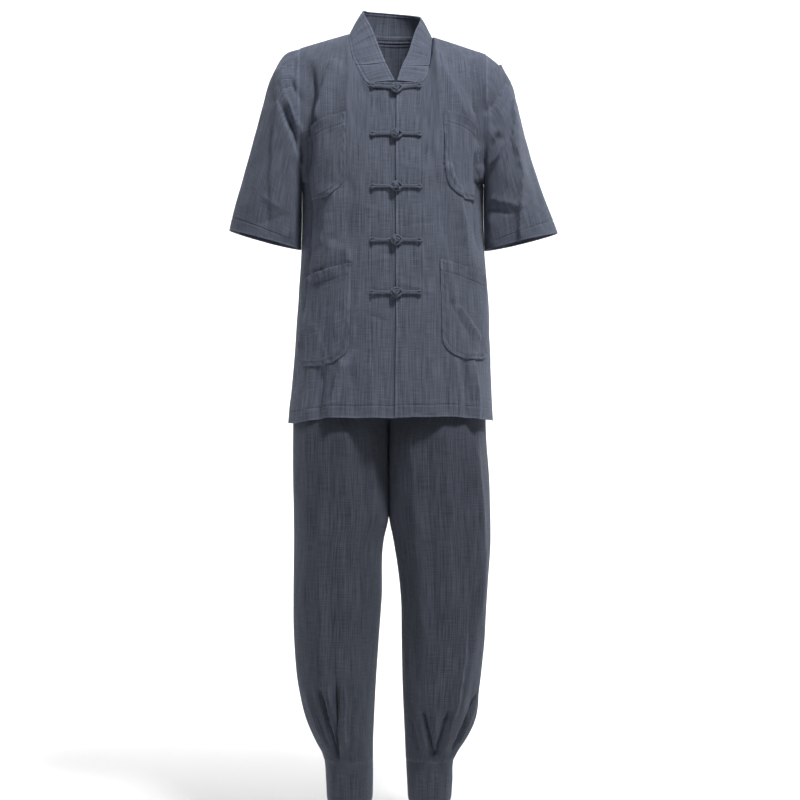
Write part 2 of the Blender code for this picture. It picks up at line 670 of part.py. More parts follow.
def pocket(name, row, panel_tree, material):
    """A patch pocket with a slanted mouth, laid on its front panel row by row."""
    side, inner, outer = row[:3]
    lines = [*np.linspace(FRONT_TIP_GIRTH, NECK_GIRTH, len(FRONT_NECK_KEYS)), *SIDE_COLUMNS]
    shares = [inner, *[line for line in lines if inner + 0.01 < line < outer - 0.01], outer]
    low, high = pocket_span(row, shares[len(shares) // 2])
    heights = panel_heights(side, shares[len(shares) // 2])
    between = np.flatnonzero((heights > low + POCKET_STEP) & (heights < high - POCKET_STEP))
    columns = []
    for share in shares:
        low, high = pocket_span(row, share)
        inside = panel_heights(side, share)[between]
        steps = POCKET_STEP * np.arange(1, len(between) + 1)
        inside = np.minimum(np.maximum(inside, low + steps), high - steps[::-1])
        column = []
        for z in (low, *inside, high):
            point = folded_jacket(jacket_point(side, -1, share, z))
            column.append(panel_tree.find_nearest(point)[0])
        columns.append(column)
    grid = np.array(columns).transpose(1, 0, 2)
    grid = grid[:, ::-1] if side < 0 else grid
    return sheet(name, grid, POCKET_WALL, material, lift=POCKET_WALL + row[-1])


def front_depth(trees, x, z):
    """Y of the foremost cloth of the fronts about x, z."""
    found = []
    for tree in trees:
        for aside in (-FROG_REACH, 0, FROG_REACH):
            for rise in (-FROG_REACH, 0, FROG_REACH):
                start = (x + aside, -1.0, min(z + rise, FRONT_TOP_Z - 0.001))
                hit = tree.ray_cast(start, (0, 1, 0))[0]
                if hit is not None:
                    found.append(hit.y)
    return min(found)


def frog_height(z, offset):
    """The top fastening's arms rise outwards to the collar ends."""
    return z + (FROG_TOP_DROP * (abs(offset) / FROG_HALF_SPAN) if z == FROG_HEIGHTS[0] else 0)


def knot_half(name, z, trees, material):
    """A frog's doubled stem and knot ball, lofted from its outer end inwards."""
    rings = []
    turns = np.linspace(0, 2 * math.pi, 8, endpoint=False)
    for along, half_height, half_depth in KNOT_STATIONS:
        x = FROG_X - FROG_HALF_SPAN + along
        rest = front_depth(trees, x, z) - FROG_LIFT - max(half_depth, FROG_CORD)
        high = frog_height(z, x - FROG_X)
        waist = 1 - 0.25 * (half_height < 0.004)
        rings.append(
            [
                (
                    x,
                    rest - half_depth * math.sin(a) * (waist if abs(math.sin(a)) > 0.9 else 1),
                    high + half_height * math.cos(a),
                )
                for a in turns
            ]
        )
    return capped_tube(name, np.array(rings), material)


def capped_tube(name, rings, material):
    mesh = bmesh.new()
    loops = [[mesh.verts.new(p) for p in ring] for ring in rings]
    count = len(loops[0])
    for first, second in zip(loops, loops[1:]):
        for c in range(count):
            d = (c + 1) % count
            mesh.faces.new((first[c], first[d], second[d], second[c]))
    mesh.faces.new(loops[0])
    mesh.faces.new(loops[-1])
    return finish_mesh(name, mesh, material)


def loop_half(name, z, trees, material):
    """A frog's doubled stem that opens into the loop round the knot."""
    rest = FROG_CORD + LOOP_GAP / 2
    outer = FROG_X + FROG_HALF_SPAN
    upper = [
        (outer, 0.0),
        (outer - 0.0014, 0.0030),
        (outer - 0.0045, 0.0036),
        (outer - 0.0080, rest),
        (outer - 0.0220, rest),
        (outer - 0.0340, rest + 0.0002),
        (FROG_X + LOOP_WIDE * 0.72, LOOP_WIDE * 0.70),
        (FROG_X, LOOP_WIDE),
        (FROG_X - LOOP_WIDE * 0.62, LOOP_WIDE * 0.66),
    ]
    path = upper + [(FROG_X - LOOP_WIDE * 0.80, 0.0)] + [(x, -h) for x, h in reversed(upper[1:])]
    rings = []
    for index, (x, h) in enumerate(path):
        before, after = path[index - 1], path[(index + 1) % len(path)]
        way = np.array([after[0] - before[0], 0, after[1] - before[1]])
        way /= np.linalg.norm(way)
        aside = np.array([way[2], 0, -way[0]])
        lift = FROG_LIFT + FROG_CORD
        if x < FROG_X - LOOP_WIDE * 0.5:
            lift += LOOP_RISE
        centre = np.array([x, front_depth(trees, x, z + h) - lift, frog_height(z, x - FROG_X) + h])
        rings.append(
            [
                centre + FROG_CORD * (aside * math.cos(a) + np.array([0, 1, 0]) * math.sin(a))
                for a in np.linspace(0, 2 * math.pi, 6, endpoint=False)
            ]
        )
    return ring_tube(name, np.array(rings), material)


def ring_tube(name, rings, material):
    """A tube whose last ring joins its first."""
    mesh = bmesh.new()
    loops = [[mesh.verts.new(p) for p in ring] for ring in rings]
    count = len(loops[0])
    for index, first in enumerate(loops):
        second = loops[(index + 1) % len(loops)]
        for c in range(count):
            d = (c + 1) % count
            mesh.faces.new((first[c], first[d], second[d], second[c]))
    return finish_mesh(name, mesh, material)


def leg_point(side, facing, share, z):
    """Point of a trouser leg: share runs from the outer seam to the inner one."""
    row = by_height(TROUSER_SECTIONS, z)
    right_out, right_in, left_in, left_out, right_deep, left_deep = row
    outer, inner, deep = (
        (right_out, right_in, right_deep) if side < 0 else (left_out, left_in, left_deep)
    )
    exponent = 2 / TROUSER_SQUARENESS
    quarter = share * math.pi / 2
    middle = TROUSER_MIDDLE_X + side * SEAM_GAP / 2
    hip = np.array(
        [
            middle + (outer - middle) * power(math.cos(quarter), exponent),
            facing * deep * power(math.sin(quarter), exponent),
            z,
        ]
    )
    if share == 1:
        hip[0] = middle
    turn = share * math.pi
    limit = middle + side * LEG_PARTING / 2
    inner = min(inner, limit) if side < 0 else max(inner, limit)
    centre, half = (outer + inner) / 2, (outer - inner) / 2
    leg = np.array(
        [
            centre + half * power(math.cos(turn), exponent),
            facing * deep * LEG_DEPTH_SHARE * power(max(math.sin(turn), 0.0), exponent),
            z,
        ]
    )
    blend = soft_step((RISE_TOP_Z - z) / (RISE_TOP_Z - CROTCH_Z))
    point = hip + (leg - hip) * blend
    if share in (0, 1):
        point[1] += facing * SEAM_GAP / 2 * (1 if share == 0 or blend == 1 else 0)
    return point


def trouser_heights():
    upper = np.linspace(LEG_TOP_Z, RISE_TOP_Z, 4)[:-1]
    rise = np.linspace(RISE_TOP_Z, CROTCH_Z, 5)[:-1]
    leg = np.linspace(CROTCH_Z, KNEE_Z, 7)[:-1]
    foot = np.linspace(KNEE_Z, CUFF_TOP_Z + SEAM_GAP, 8)
    return [*upper, *rise, *leg, *foot]


def trouser_panel(name, side, facing, material):
    grid = []
    for z in trouser_heights():
        row = []
        for share in np.linspace(0, 1, TROUSER_COLUMNS + 1):
            point = leg_point(side, facing, share, z)
            sections = by_height(TROUSER_SECTIONS, z)
            outer, inner = (sections[0], sections[1]) if side < 0 else (sections[3], sections[2])
            across = (point[0] - (outer + inner) / 2) * FOLD_LEG_WIDTH_SHARE
            way = np.array([across, point[1], 0.0])
            way /= max(np.linalg.norm(way), 1e-6)
            push = fold_push(point, TROUSER_FRONT_FOLDS, TROUSER_BACK_FOLDS)
            seam = soft_step(min(share, 1 - share) / FOLD_SEAM_SHARE)
            row.append(point + way * push * seam)
        grid.append(row)
    grid = np.array(grid)
    rise = sum(z > CROTCH_Z for z in trouser_heights())
    outer, inner = (0, -1) if side * facing < 0 else (-1, 0)
    seams = ((slice(None), outer, 1), (slice(0, rise), inner, 0), (slice(rise, None), inner, 1))
    grid = grid if side * facing < 0 else grid[:, ::-1]
    return sheet(name, grid, WALL, material, seams=seams)


def leg_band(name, side, heights, material):
    grid = []
    for z in heights:
        row = []
        for a in np.linspace(0, 2 * math.pi, BAND_SEGMENTS, endpoint=False):
            right_out, right_in, left_in, left_out, right_deep, left_deep = by_height(
                TROUSER_SECTIONS, z
            )
            if side == 0:
                outer, inner, deep = right_out, left_out, right_deep
            elif side < 0:
                outer, inner, deep = right_out, right_in, right_deep * LEG_DEPTH_SHARE
            else:
                outer, inner, deep = left_in, left_out, left_deep * LEG_DEPTH_SHARE
            exponent = 2 / TROUSER_SQUARENESS
            row.append(
                (
                    (outer + inner) / 2 + (inner - outer) / 2 * power(math.cos(a), exponent),
                    deep * power(math.sin(a), exponent),
                    z,
                )
            )
        grid.append(row)
    return sheet(name, np.array(grid), BAND_WALL, material, closed=True)


def build_suit():
    jacket = cloth_material("jacket_cloth", JACKET_COLOUR)
    trousers = cloth_material("trouser_cloth", TROUSER_COLOUR)
    trim = cloth_material("trim_cloth", TRIM_COLOUR)
    edge = EDGE_X / HALF_GIRTH
    right_shares = (-UNDERLAP / HALF_GIRTH, -0.05, 0.016, 0.066, 0.125)
    fronts = {
        -1: front_panel("jacket_front_right", -1, right_shares, jacket),
        1: front_panel("jacket_front_left", 1, (edge, 0.07, 0.13), jacket),
    }
    trees = {side: tree_of(front) for side, front in fronts.items()}
    back_panel("jacket_back", jacket)
    sleeve("sleeve_right", -1, jacket)
    sleeve("sleeve_left", 1, jacket)
    band_keys = [*FRONT_NECK_KEYS[2:], *BACK_NECK_KEYS[1:-1]]
    band_keys += [LAST_KEY - k for k in reversed(FRONT_NECK_KEYS[2:])]
    collar_piece("collar_band", band_keys, jacket)
    collar_piece("collar_end_right", (0.02, 0.5, 0.99), jacket)
    collar_piece("collar_end_left", (11.01, 11.5, 11.97), jacket)
    for name, row in POCKETS.items():
        pocket(name, row, trees[row[0]], jacket)
    for number, z in enumerate(FROG_HEIGHTS, start=1):
        knot_half(f"frog_knot_{number}", z, trees.values(), trim)
        loop_half(f"frog_loop_{number}", z, trees.values(), trim)
    for side, side_name in ((-1, "right"), (1, "left")):
        trouser_panel(f"trouser_front_{side_name}", side, -1, trousers)
        trouser_panel(f"trouser_back_{side_name}", side, 1, trousers)
        heights = np.linspace(CUFF_FOOT_Z, CUFF_TOP_Z, 3)
        leg_band(f"cuff_{side_name}", side, heights, trousers)
    leg_band("waistband", 0, (WAISTBAND_FOOT_Z, WAISTBAND_TOP_Z), trousers)


def clear_scene():
    for item in list(bpy.data.objects):
        bpy.data.objects.remove(item, do_unlink=True)


clear_scene()
build_suit()
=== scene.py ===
"""Dressing of the short-sleeved suit: slubby cloth, folds, stitching, frog fastenings and studio.

The cloth pieces repeat the jacket and trouser block of the frame in metres, at a finer step.
X runs to the wearer's left, -Y is the front and the origin lies at the base of the neck.
"""

from __future__ import annotations

import logging
import math
from collections.abc import Sequence
from dataclasses import dataclass, field
from enum import Enum
from typing import ClassVar

import bpy
import numpy as np
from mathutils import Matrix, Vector

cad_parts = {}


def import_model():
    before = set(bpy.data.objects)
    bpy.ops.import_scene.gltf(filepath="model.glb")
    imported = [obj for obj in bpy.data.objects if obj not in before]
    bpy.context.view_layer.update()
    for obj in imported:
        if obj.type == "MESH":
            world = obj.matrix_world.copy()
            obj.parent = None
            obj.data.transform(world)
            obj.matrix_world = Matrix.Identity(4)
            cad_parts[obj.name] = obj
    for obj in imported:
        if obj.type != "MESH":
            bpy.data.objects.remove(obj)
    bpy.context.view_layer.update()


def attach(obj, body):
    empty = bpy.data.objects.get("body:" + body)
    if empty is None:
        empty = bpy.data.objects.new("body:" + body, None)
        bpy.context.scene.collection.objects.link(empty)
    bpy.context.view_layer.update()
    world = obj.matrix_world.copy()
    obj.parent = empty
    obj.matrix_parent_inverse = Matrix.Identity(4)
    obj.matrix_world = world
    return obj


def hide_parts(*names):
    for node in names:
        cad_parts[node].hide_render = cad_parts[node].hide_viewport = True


LOG = logging.getLogger("suit")

GRAIN_MAP = "grain"
# Point attribute that makes cloth paler near its edges: a painted highlight along lit edges and seams.
EDGE_HIGHLIGHT = "wear"
SEAM_GAP = 0.0003
CLOTH_WALL = 0.0011
POCKET_WALL = 0.0013
DOUBLE_WALL = 0.0020
GRID_STEP = 0.0032
TINY = 1e-6


class Side(Enum):
    """Wearer's side, as the sign of X."""

    RIGHT = -1
    LEFT = 1

    @property
    def word(self) -> str:
        """The side as node names spell it."""
        return self.name.lower()


class Facing(Enum):
    """Front or back of the wearer, as the sign of Y."""

    FRONT = -1
    BACK = 1


class Held(Enum):
    """How a sheet of cloth is carried."""

    HUNG = "hung"
    LAID = "laid"
    GATHERED = "gathered"


# ---- block tables, shared in meaning with the frame ----

BODY_SECTIONS = np.array(
    # height, width to the right, width to the left, front depth, back depth
    [
        (-0.745, 0.1990, 0.1905, 0.1340, 0.1300),
        (-0.735, 0.1985, 0.1900, 0.1340, 0.1300),
        (-0.667, 0.1920, 0.1865, 0.1330, 0.1290),
        (-0.600, 0.1860, 0.1840, 0.1320, 0.1260),
        (-0.520, 0.1805, 0.1820, 0.1310, 0.1210),
        (-0.412, 0.1745, 0.1740, 0.1290, 0.1160),
        (-0.340, 0.1730, 0.1720, 0.1270, 0.1160),
        (-0.285, 0.1735, 0.1725, 0.1250, 0.1180),
    ]
)
FRONT_HEM = np.array(
    # share of the half front, height of the hem there on the right and on the left
    [
        (-0.20, -0.7300, -0.7285),
        (0.00, -0.7300, -0.7285),
        (0.44, -0.7290, -0.7275),
        (0.60, -0.7360, -0.7310),
        (0.75, -0.7405, -0.7345),
        (1.00, -0.7405, -0.7370),
    ]
)
COLLAR_SECTIONS = np.array(
    # seam x, y, z, then free edge x, y, z, from the right tip round to the left one
    [
        (-0.0460, -0.0900, -0.1076, 0.0040, -0.0975, -0.1045),
        (-0.0580, -0.0765, -0.0905, -0.0135, -0.0700, -0.0655),
        (-0.0758, -0.0450, -0.0516, -0.0240, -0.0480, -0.0370),
        (-0.0825, -0.0200, -0.0200, -0.0400, -0.0180, 0.0080),
        (-0.0836, 0.0050, 0.0000, -0.0572, 0.0120, 0.0465),
        (-0.0640, 0.0460, 0.0010, -0.0460, 0.0440, 0.0520),
        (0.0000, 0.0720, 0.0010, 0.0000, 0.0630, 0.0520),
        (0.0610, 0.0440, -0.0020, 0.0430, 0.0420, 0.0440),
        (0.0741, 0.0040, -0.0057, 0.0533, 0.0110, 0.0331),
        (0.0735, -0.0210, -0.0260, 0.0410, -0.0180, 0.0000),
        (0.0715, -0.0470, -0.0554, 0.0290, -0.0460, -0.0420),
        (0.0640, -0.0765, -0.0905, 0.0175, -0.0700, -0.0700),
        (0.0530, -0.0900, -0.1076, 0.0075, -0.0975, -0.1045),
    ]
)
SLEEVE_SECTIONS = {
    # share of the length, outer x, outer z, inner x, inner z, half depth
    Side.RIGHT: np.array(
        [
            (0.00, 0.1770, -0.0265, 0.1735, -0.2850, 0.0670),
            (0.13, 0.2085, -0.0410, 0.1762, -0.2930, 0.0700),
            (0.27, 0.2340, -0.0850, 0.1772, -0.3050, 0.0710),
            (0.42, 0.2500, -0.1380, 0.1776, -0.3210, 0.0700),
            (0.62, 0.2745, -0.2260, 0.1780, -0.3500, 0.0670),
            (0.82, 0.2990, -0.3150, 0.1784, -0.3850, 0.0620),
            (1.00, 0.3126, -0.3740, 0.1788, -0.4110, 0.0570),
        ]
    ),
    Side.LEFT: np.array(
        [
            (0.00, 0.1770, -0.0380, 0.1725, -0.2850, 0.0670),
            (0.13, 0.2080, -0.0640, 0.1755, -0.2930, 0.0700),
            (0.27, 0.2285, -0.0980, 0.1765, -0.3050, 0.0710),
            (0.42, 0.2395, -0.1460, 0.1770, -0.3210, 0.0700),
            (0.62, 0.2635, -0.2310, 0.1775, -0.3500, 0.0670),
            (0.82, 0.2930, -0.3200, 0.1780, -0.3860, 0.0620),
            (1.00, 0.3145, -0.3790, 0.1785, -0.4130, 0.0570),
        ]
    ),
}
TROUSER_SECTIONS = np.array(
    # height, right outer x, right inner x, left inner x, left outer x, right and left half depth
    [
        (-0.390, -0.1480, -0.0085, -0.0085, 0.1330, 0.1010, 0.1010),
        (-0.430, -0.1500, -0.0085, -0.0085, 0.1350, 0.1030, 0.1030),
        (-0.500, -0.1600, -0.0085, -0.0085, 0.1480, 0.1080, 0.1080),
        (-0.560, -0.1775, -0.0085, -0.0085, 0.1735, 0.1120, 0.1120),
        (-0.600, -0.1836, -0.0085, -0.0085, 0.1815, 0.1140, 0.1140),
        (-0.650, -0.1870, -0.0085, -0.0085, 0.1810, 0.1160, 0.1160),
        (-0.739, -0.1900, -0.0080, -0.0080, 0.1767, 0.1180, 0.1180),
        (-0.849, -0.1900, -0.0080, -0.0080, 0.1830, 0.1120, 0.1120),
        (-0.925, -0.1888, -0.0088, -0.0072, 0.1852, 0.1060, 0.1070),
        (-0.958, -0.1885, -0.0165, -0.0005, 0.1854, 0.1045, 0.1055),
        (-1.077, -0.1895, -0.0215, 0.0150, 0.1770, 0.0970, 0.0970),
        (-1.153, -0.1880, -0.0270, 0.0163, 0.1740, 0.0920, 0.0920),
        (-1.248, -0.1786, -0.0333, 0.0184, 0.1640, 0.0880, 0.0870),
        (-1.305, -0.1645, -0.0361, 0.0209, 0.1565, 0.0830, 0.0800),
        (-1.347, -0.1455, -0.0378, 0.0228, 0.1355, 0.0720, 0.0660),
        (-1.366, -0.1352, -0.0380, 0.0236, 0.1225, 0.0640, 0.0550),
        (-1.379, -0.1315, -0.0380, 0.0243, 0.1165, 0.0600, 0.0500),
        (-1.420, -0.1275, -0.0380, 0.0266, 0.1132, 0.0590, 0.0490),
        (-1.460, -0.1258, -0.0388, 0.0285, 0.1108, 0.0580, 0.0490),
    ]
)


# ---- numbers and grids ----


def soft_step(value: np.ndarray | float) -> np.ndarray:
    """Ease from 0 to 1.

    Args:
        value: share of the way, clipped to 0..1.

    Returns:
        The eased share.
    """
    share = np.clip(value, 0.0, 1.0)
    return share * share * (3 - 2 * share)


def signed_power(value: np.ndarray, exponent: float) -> np.ndarray:
    """Power of the size of a value that keeps its sign."""
    return np.sign(value) * np.abs(value) ** exponent


def smooth_rows(table: np.ndarray, at: np.ndarray | float) -> np.ndarray:
    """Read a table on smooth curves.

    Args:
        table: rows whose first column rises, with the values after it.
        at: places along the first column.

    Returns:
        The values at those places, in a last axis.
    """
    at = np.asarray(at, float)
    places, values = table[:, 0], table[:, 1:]
    slopes = np.gradient(values, places, axis=0)
    index = np.clip(np.searchsorted(places, at) - 1, 0, len(places) - 2)
    step = (places[index + 1] - places[index])[..., None]
    share = (at[..., None] - places[index][..., None]) / step
    cube, square = share**3, share**2
    return (
        (2 * cube - 3 * square + 1) * values[index]
        + (cube - 2 * square + share) * slopes[index] * step
        + (3 * square - 2 * cube) * values[index + 1]
        + (cube - square) * slopes[index + 1] * step
    )


def by_height(table: np.ndarray, z: np.ndarray | float) -> np.ndarray:
    """Read a table of sections at heights.

    Args:
        table: rows that start with a height, in either order.
        z: heights.

    Returns:
        The other columns at those heights.
    """
    return smooth_rows(table[np.argsort(table[:, 0])], z)


def soft_noise(u: np.ndarray, v: np.ndarray, cell: tuple[float, float], seed: int) -> np.ndarray:
    """Seeded smooth noise over the cloth.

    Args:
        u: places across the grain, in metres.
        v: places along the grain, in metres.
        cell: size of a swell across and along.
        seed: picks the pattern.

    Returns:
        Values from about -1 to 1.
    """
    size = (97, 89)
    lattice = np.random.default_rng(seed).uniform(-1, 1, size)
    a, b = np.asarray(u) / cell[0] + 31.0, np.asarray(v) / cell[1] + 37.0
    row, column = np.floor(a).astype(int), np.floor(b).astype(int)
    fa, fb = soft_step(a - row), soft_step(b - column)

    def corner(i: int, j: int) -> np.ndarray:
        """Lattice values at one corner of each cell."""
        return lattice[(row + i) % size[0], (column + j) % size[1]]

    low = corner(0, 0) * (1 - fa) + corner(1, 0) * fa
    high = corner(0, 1) * (1 - fa) + corner(1, 1) * fa
    return low * (1 - fb) + high * fb


def grid_normals(grid: np.ndarray, closed: bool) -> np.ndarray:
    """Unit normals of a grid of points.

    Args:
        grid: points by row and column.
        closed: whether the last column joins the first.

    Returns:
        One unit vector for each point.
    """
    along = np.gradient(grid, axis=0)
    if closed:
        across = np.roll(grid, -1, axis=1) - np.roll(grid, 1, axis=1)
    else:
        across = np.gradient(grid, axis=1)
    normals = np.cross(across, along)
    return normals / np.maximum(np.linalg.norm(normals, axis=2, keepdims=True), 1e-12)


def dense(values: np.ndarray, lines: Sequence[float], reach: float, step: float) -> np.ndarray:
    """Grid lines with closer ones added about some places.

    Args:
        values: rising grid lines.
        lines: places that need detail.
        reach: how far the closer lines go to each side.
        step: their spacing.

    Returns:
        The rising grid lines.
    """
    extra = [np.arange(line - reach, line + reach + step / 2, step) for line in lines]
    inner = np.concatenate([values[1:-1], *extra]) if extra else values[1:-1]
    inner = np.sort(inner[(inner > values[0] + step / 2) & (inner < values[-1] - step / 2)])
    kept = [values[0]]
    for value in inner:
        if value - kept[-1] > step * 0.6:
            kept.append(value)
    return np.array([*kept, values[-1]])


def bump(distance: np.ndarray | float, width: float) -> np.ndarray:
    """Round swell of height 1 at distance 0."""
    return np.exp(-((distance / width) ** 2))


def groove(distance: np.ndarray) -> np.ndarray:
    """Pressed channel of a stitch row, with a slight swell to each side."""
    swell, channel = bump(np.abs(distance) - 0.0034, 0.0016), bump(distance, 0.0013)
    return 0.00025 * swell - 0.00085 * channel


@dataclass(frozen=True)
class Fold:
    """One trough or ridge, drawn from a start to an end in front view.

    A lean above 0 makes the side that lies left of its way steeper, and one below 0 the other side.
    """

    x0: float
    z0: float
    x1: float
    z1: float
    width: float
    height: float
    lean: float
    fade: ClassVar[float] = 0.36
    falloff: ClassVar[float] = 1.45
    steepening: ClassVar[tuple[float, float]] = (-1.1, 1.6)
    wander: ClassVar[tuple[float, float]] = (0.12, 9.0)

    def lift(self, x: np.ndarray, z: np.ndarray) -> np.ndarray:
        """Height of the fold at places of the front view.

        Args:
            x: places across.
            z: heights.

        Returns:
            How far the cloth stands out there.
        """
        run = np.array([self.x1 - self.x0, self.z1 - self.z0])
        length = float(np.hypot(*run))
        dx, dz = x - self.x0, z - self.z0
        along = (dx * run[0] + dz * run[1]) / length**2
        bend = self.wander[0] * self.width * np.sin(self.wander[1] * along + 40 * self.x0)
        away = (run[0] * dz - run[1] * dx) / length + bend
        steep, gentle = (1 + abs(self.lean) * change for change in self.steepening)
        span = self.width * np.where(away * np.sign(self.lean) > 0, steep, gentle)
        ends = soft_step(along / self.fade + 0.5) * soft_step((1 - along) / self.fade + 0.5)
        return self.height * np.exp(-(np.abs(away / span) ** self.falloff)) * ends


def folds(*rows: tuple[float, ...]) -> tuple[Fold, ...]:
    """Folds from a table of the lines that they run along.

    Args:
        rows: half width, height and lean of a line, then x and z of each of its points.

    Returns:
        One fold for each stretch between two points.
    """
    made = []
    for width, height, lean, *line in rows:
        for at in range(0, len(line) - 2, 2):
            made.append(Fold(*line[at : at + 4], width, height, lean))
    return tuple(made)


JACKET_FRONT_FOLDS = folds(
    (0.017, 0.007, 0.0, -0.107, -0.06, -0.147, -0.19),
    (0.015, 0.006, 0.0, -0.147, -0.19, -0.161, -0.292),
    (0.01, -0.007, 0.0, -0.163, -0.08, -0.163, -0.27),
    (0.018, 0.005, 0.0, -0.106, -0.306, -0.131, -0.385),
    (0.018, 0.006, 0.0, -0.131, -0.385, -0.146, -0.464),
    (0.012, -0.004, 0.0, -0.137, -0.33, -0.16, -0.44),
    (0.014, 0.005, 0.0, -0.078, -0.609, -0.112, -0.68),
    (0.014, 0.006, 0.0, -0.112, -0.68, -0.12, -0.742),
    (0.012, 0.0045, 0.0, 0.068, -0.06, 0.165, -0.193),
    (0.01, -0.004, 0.0, 0.1, -0.06, 0.168, -0.16),
    (0.016, 0.005, 0.0, 0.118, -0.306, 0.129, -0.376),
    (0.018, 0.006, 0.0, 0.129, -0.376, 0.151, -0.47),
    (0.013, 0.005, 0.0, 0.15, -0.64, 0.156, -0.742),
    (0.022, 0.003, 0.0, 0.06, -0.56, 0.07, -0.74),
    (0.0092, 0.0087, -0.45, -0.112, -0.065, -0.125, -0.121, -0.142, -0.18),
    (0.01, -0.015, 0.0, -0.156, -0.07, -0.153, -0.152, -0.157, -0.264),
    (0.0075, 0.0014, -0.5, -0.088, -0.296, -0.103, -0.312),
    (0.008, 0.0052, -0.5, -0.103, -0.312, -0.122, -0.362),
    (0.0059, 0.0058, -0.5, -0.122, -0.357, -0.133, -0.405),
    (0.012, -0.014, 0.0, -0.162, -0.268, -0.162, -0.411),
    (0.0066, 0.0065, 0.45, 0.08, -0.039, 0.109, -0.113, 0.135, -0.174),
    (0.0055, 0.0065, 0.45, 0.115, -0.028, 0.132, -0.058, 0.144, -0.099, 0.161, -0.182),
    (0.0085, -0.012, 0.0, 0.154, -0.06, 0.158, -0.124),
    (0.01, -0.0145, 0.0, 0.158, -0.124, 0.164, -0.215),
    (0.009, 0.006, 0.45, 0.1, -0.262, 0.12, -0.313),
    (0.0083, 0.008, 0.45, 0.12, -0.313, 0.133, -0.4),
    (0.012, -0.014, 0.0, 0.16, -0.225, 0.164, -0.411),
    (0.0092, 0.0036, 0.0, -0.075, -0.087, -0.086, -0.165),
    (0.0101, 0.0036, 0.0, 0.047, -0.069, 0.061, -0.176),
    (0.011, -0.0043, 0.0, 0.069, -0.235, 0.089, -0.32, 0.098, -0.409),
    (0.011, -0.0043, 0.0, -0.075, -0.298, -0.086, -0.401),
    (0.012, 0.0072, -0.5, -0.113, -0.407, -0.128, -0.462),
    (0.012, -0.0087, 0.0, -0.159, -0.415, -0.165, -0.532),
    (0.006, 0.0025, 0.5, -0.146, -0.554, -0.132, -0.594, -0.117, -0.638),
    (0.0068, -0.0028, 0.0, -0.124, -0.543, -0.131, -0.627),
    (0.0055, 0.0032, 0.0, -0.102, -0.547, -0.11, -0.616),
    (0.0083, 0.0094, -0.4, -0.093, -0.624, -0.104, -0.675, -0.115, -0.73),
    (0.0059, -0.0072, 0.0, -0.13, -0.638, -0.139, -0.734),
    (0.0066, 0.0065, 0.0, -0.15, -0.631, -0.157, -0.734),
    (0.0074, -0.0051, 0.0, -0.075, -0.642, -0.073, -0.73),
    (0.0066, 0.0046, 0.0, -0.038, -0.635, -0.04, -0.73),
    (0.0052, -0.0055, 0.0, -0.018, -0.646, -0.014, -0.73),
    (0.0092, 0.0032, 0.0, 0.021, -0.569, 0.022, -0.728),
    (0.0074, 0.0051, 0.0, 0.072, -0.638, 0.077, -0.73),
    (0.0063, -0.0055, 0.0, 0.098, -0.635, 0.101, -0.73),
    (0.0066, 0.0058, 0.0, 0.118, -0.627, 0.122, -0.73),
    (0.0059, -0.0072, 0.0, 0.134, -0.624, 0.138, -0.73),
    (0.007, 0.0087, 0.45, 0.149, -0.616, 0.155, -0.734),
    (0.0058, 0.003, 0.5, 0.12, -0.524, 0.14, -0.552, 0.16, -0.582),
    (0.0062, -0.0026, 0.0, 0.105, -0.514, 0.123, -0.548, 0.142, -0.58),
    (0.0074, 0.0035, 0.0, 0.101, -0.444, 0.109, -0.514),
    (0.0055, 0.0029, 0.0, -0.086, -0.422, -0.078, -0.444),
    (0.004, 0.0014, 0.0, 0.017, -0.262, 0.068, -0.277),
    (0.004, 0.0012, 0.0, -0.056, -0.341, -0.012, -0.354),
    (0.004, -0.0012, 0.0, 0.017, -0.378, 0.076, -0.367),
    (0.004, 0.0012, 0.0, -0.056, -0.444, -0.009, -0.437),
    (0.0044, 0.0014, 0.0, 0.017, -0.481, 0.072, -0.499),
    (0.0044, -0.0014, 0.0, -0.053, -0.536, -0.009, -0.554),
)
JACKET_BACK_FOLDS = folds(
    (0.026, 0.0055, 0.0, -0.105, -0.14, -0.13, -0.74),
    (0.022, -0.0045, 0.0, -0.045, -0.33, -0.06, -0.745),
    (0.026, 0.0045, 0.0, 0.02, -0.3, 0.026, -0.745),
    (0.02, -0.0045, 0.0, 0.08, -0.4, 0.092, -0.745),
    (0.024, 0.0055, 0.0, 0.11, -0.15, 0.134, -0.74),
    (0.018, -0.005, 0.0, -0.15, -0.11, -0.09, -0.28),
    (0.018, -0.005, 0.0, 0.15, -0.11, 0.09, -0.27),
    (0.0075, 0.0052, 0.4, -0.152, -0.13, -0.104, -0.262),
    (0.007, -0.0056, 0.0, -0.14, -0.11, -0.086, -0.24),
    (0.0075, 0.0052, -0.4, 0.154, -0.12, 0.108, -0.25),
    (0.007, -0.0056, 0.0, 0.142, -0.104, 0.09, -0.236),
    (0.01, 0.005, 0.3, -0.08, -0.36, -0.092, -0.73),
    (0.009, -0.0048, 0.0, -0.11, -0.42, -0.122, -0.74),
    (0.01, -0.0045, 0.0, 0.05, -0.34, 0.058, -0.735),
    (0.009, 0.0048, -0.3, 0.072, -0.38, 0.084, -0.74),
    (0.012, -0.005, 0.0, -0.01, -0.46, -0.014, -0.74),
    (0.008, 0.0038, 0.0, 0.012, -0.52, 0.014, -0.74),
    (0.0085, -0.0045, 0.0, 0.112, -0.5, 0.126, -0.738),
    (0.007, 0.0034, 0.0, 0.142, -0.33, 0.116, -0.42),
    (0.007, 0.0034, 0.0, -0.142, -0.34, -0.114, -0.43),
    (0.01, -0.0055, 0.0, 0.156, -0.3, 0.16, -0.42),
    (0.01, -0.0055, 0.0, -0.156, -0.3, -0.16, -0.42),
    (0.011, 0.003, 0.0, -0.06, -0.08, -0.05, -0.18),
    (0.011, 0.003, 0.0, 0.056, -0.084, 0.048, -0.17),
)
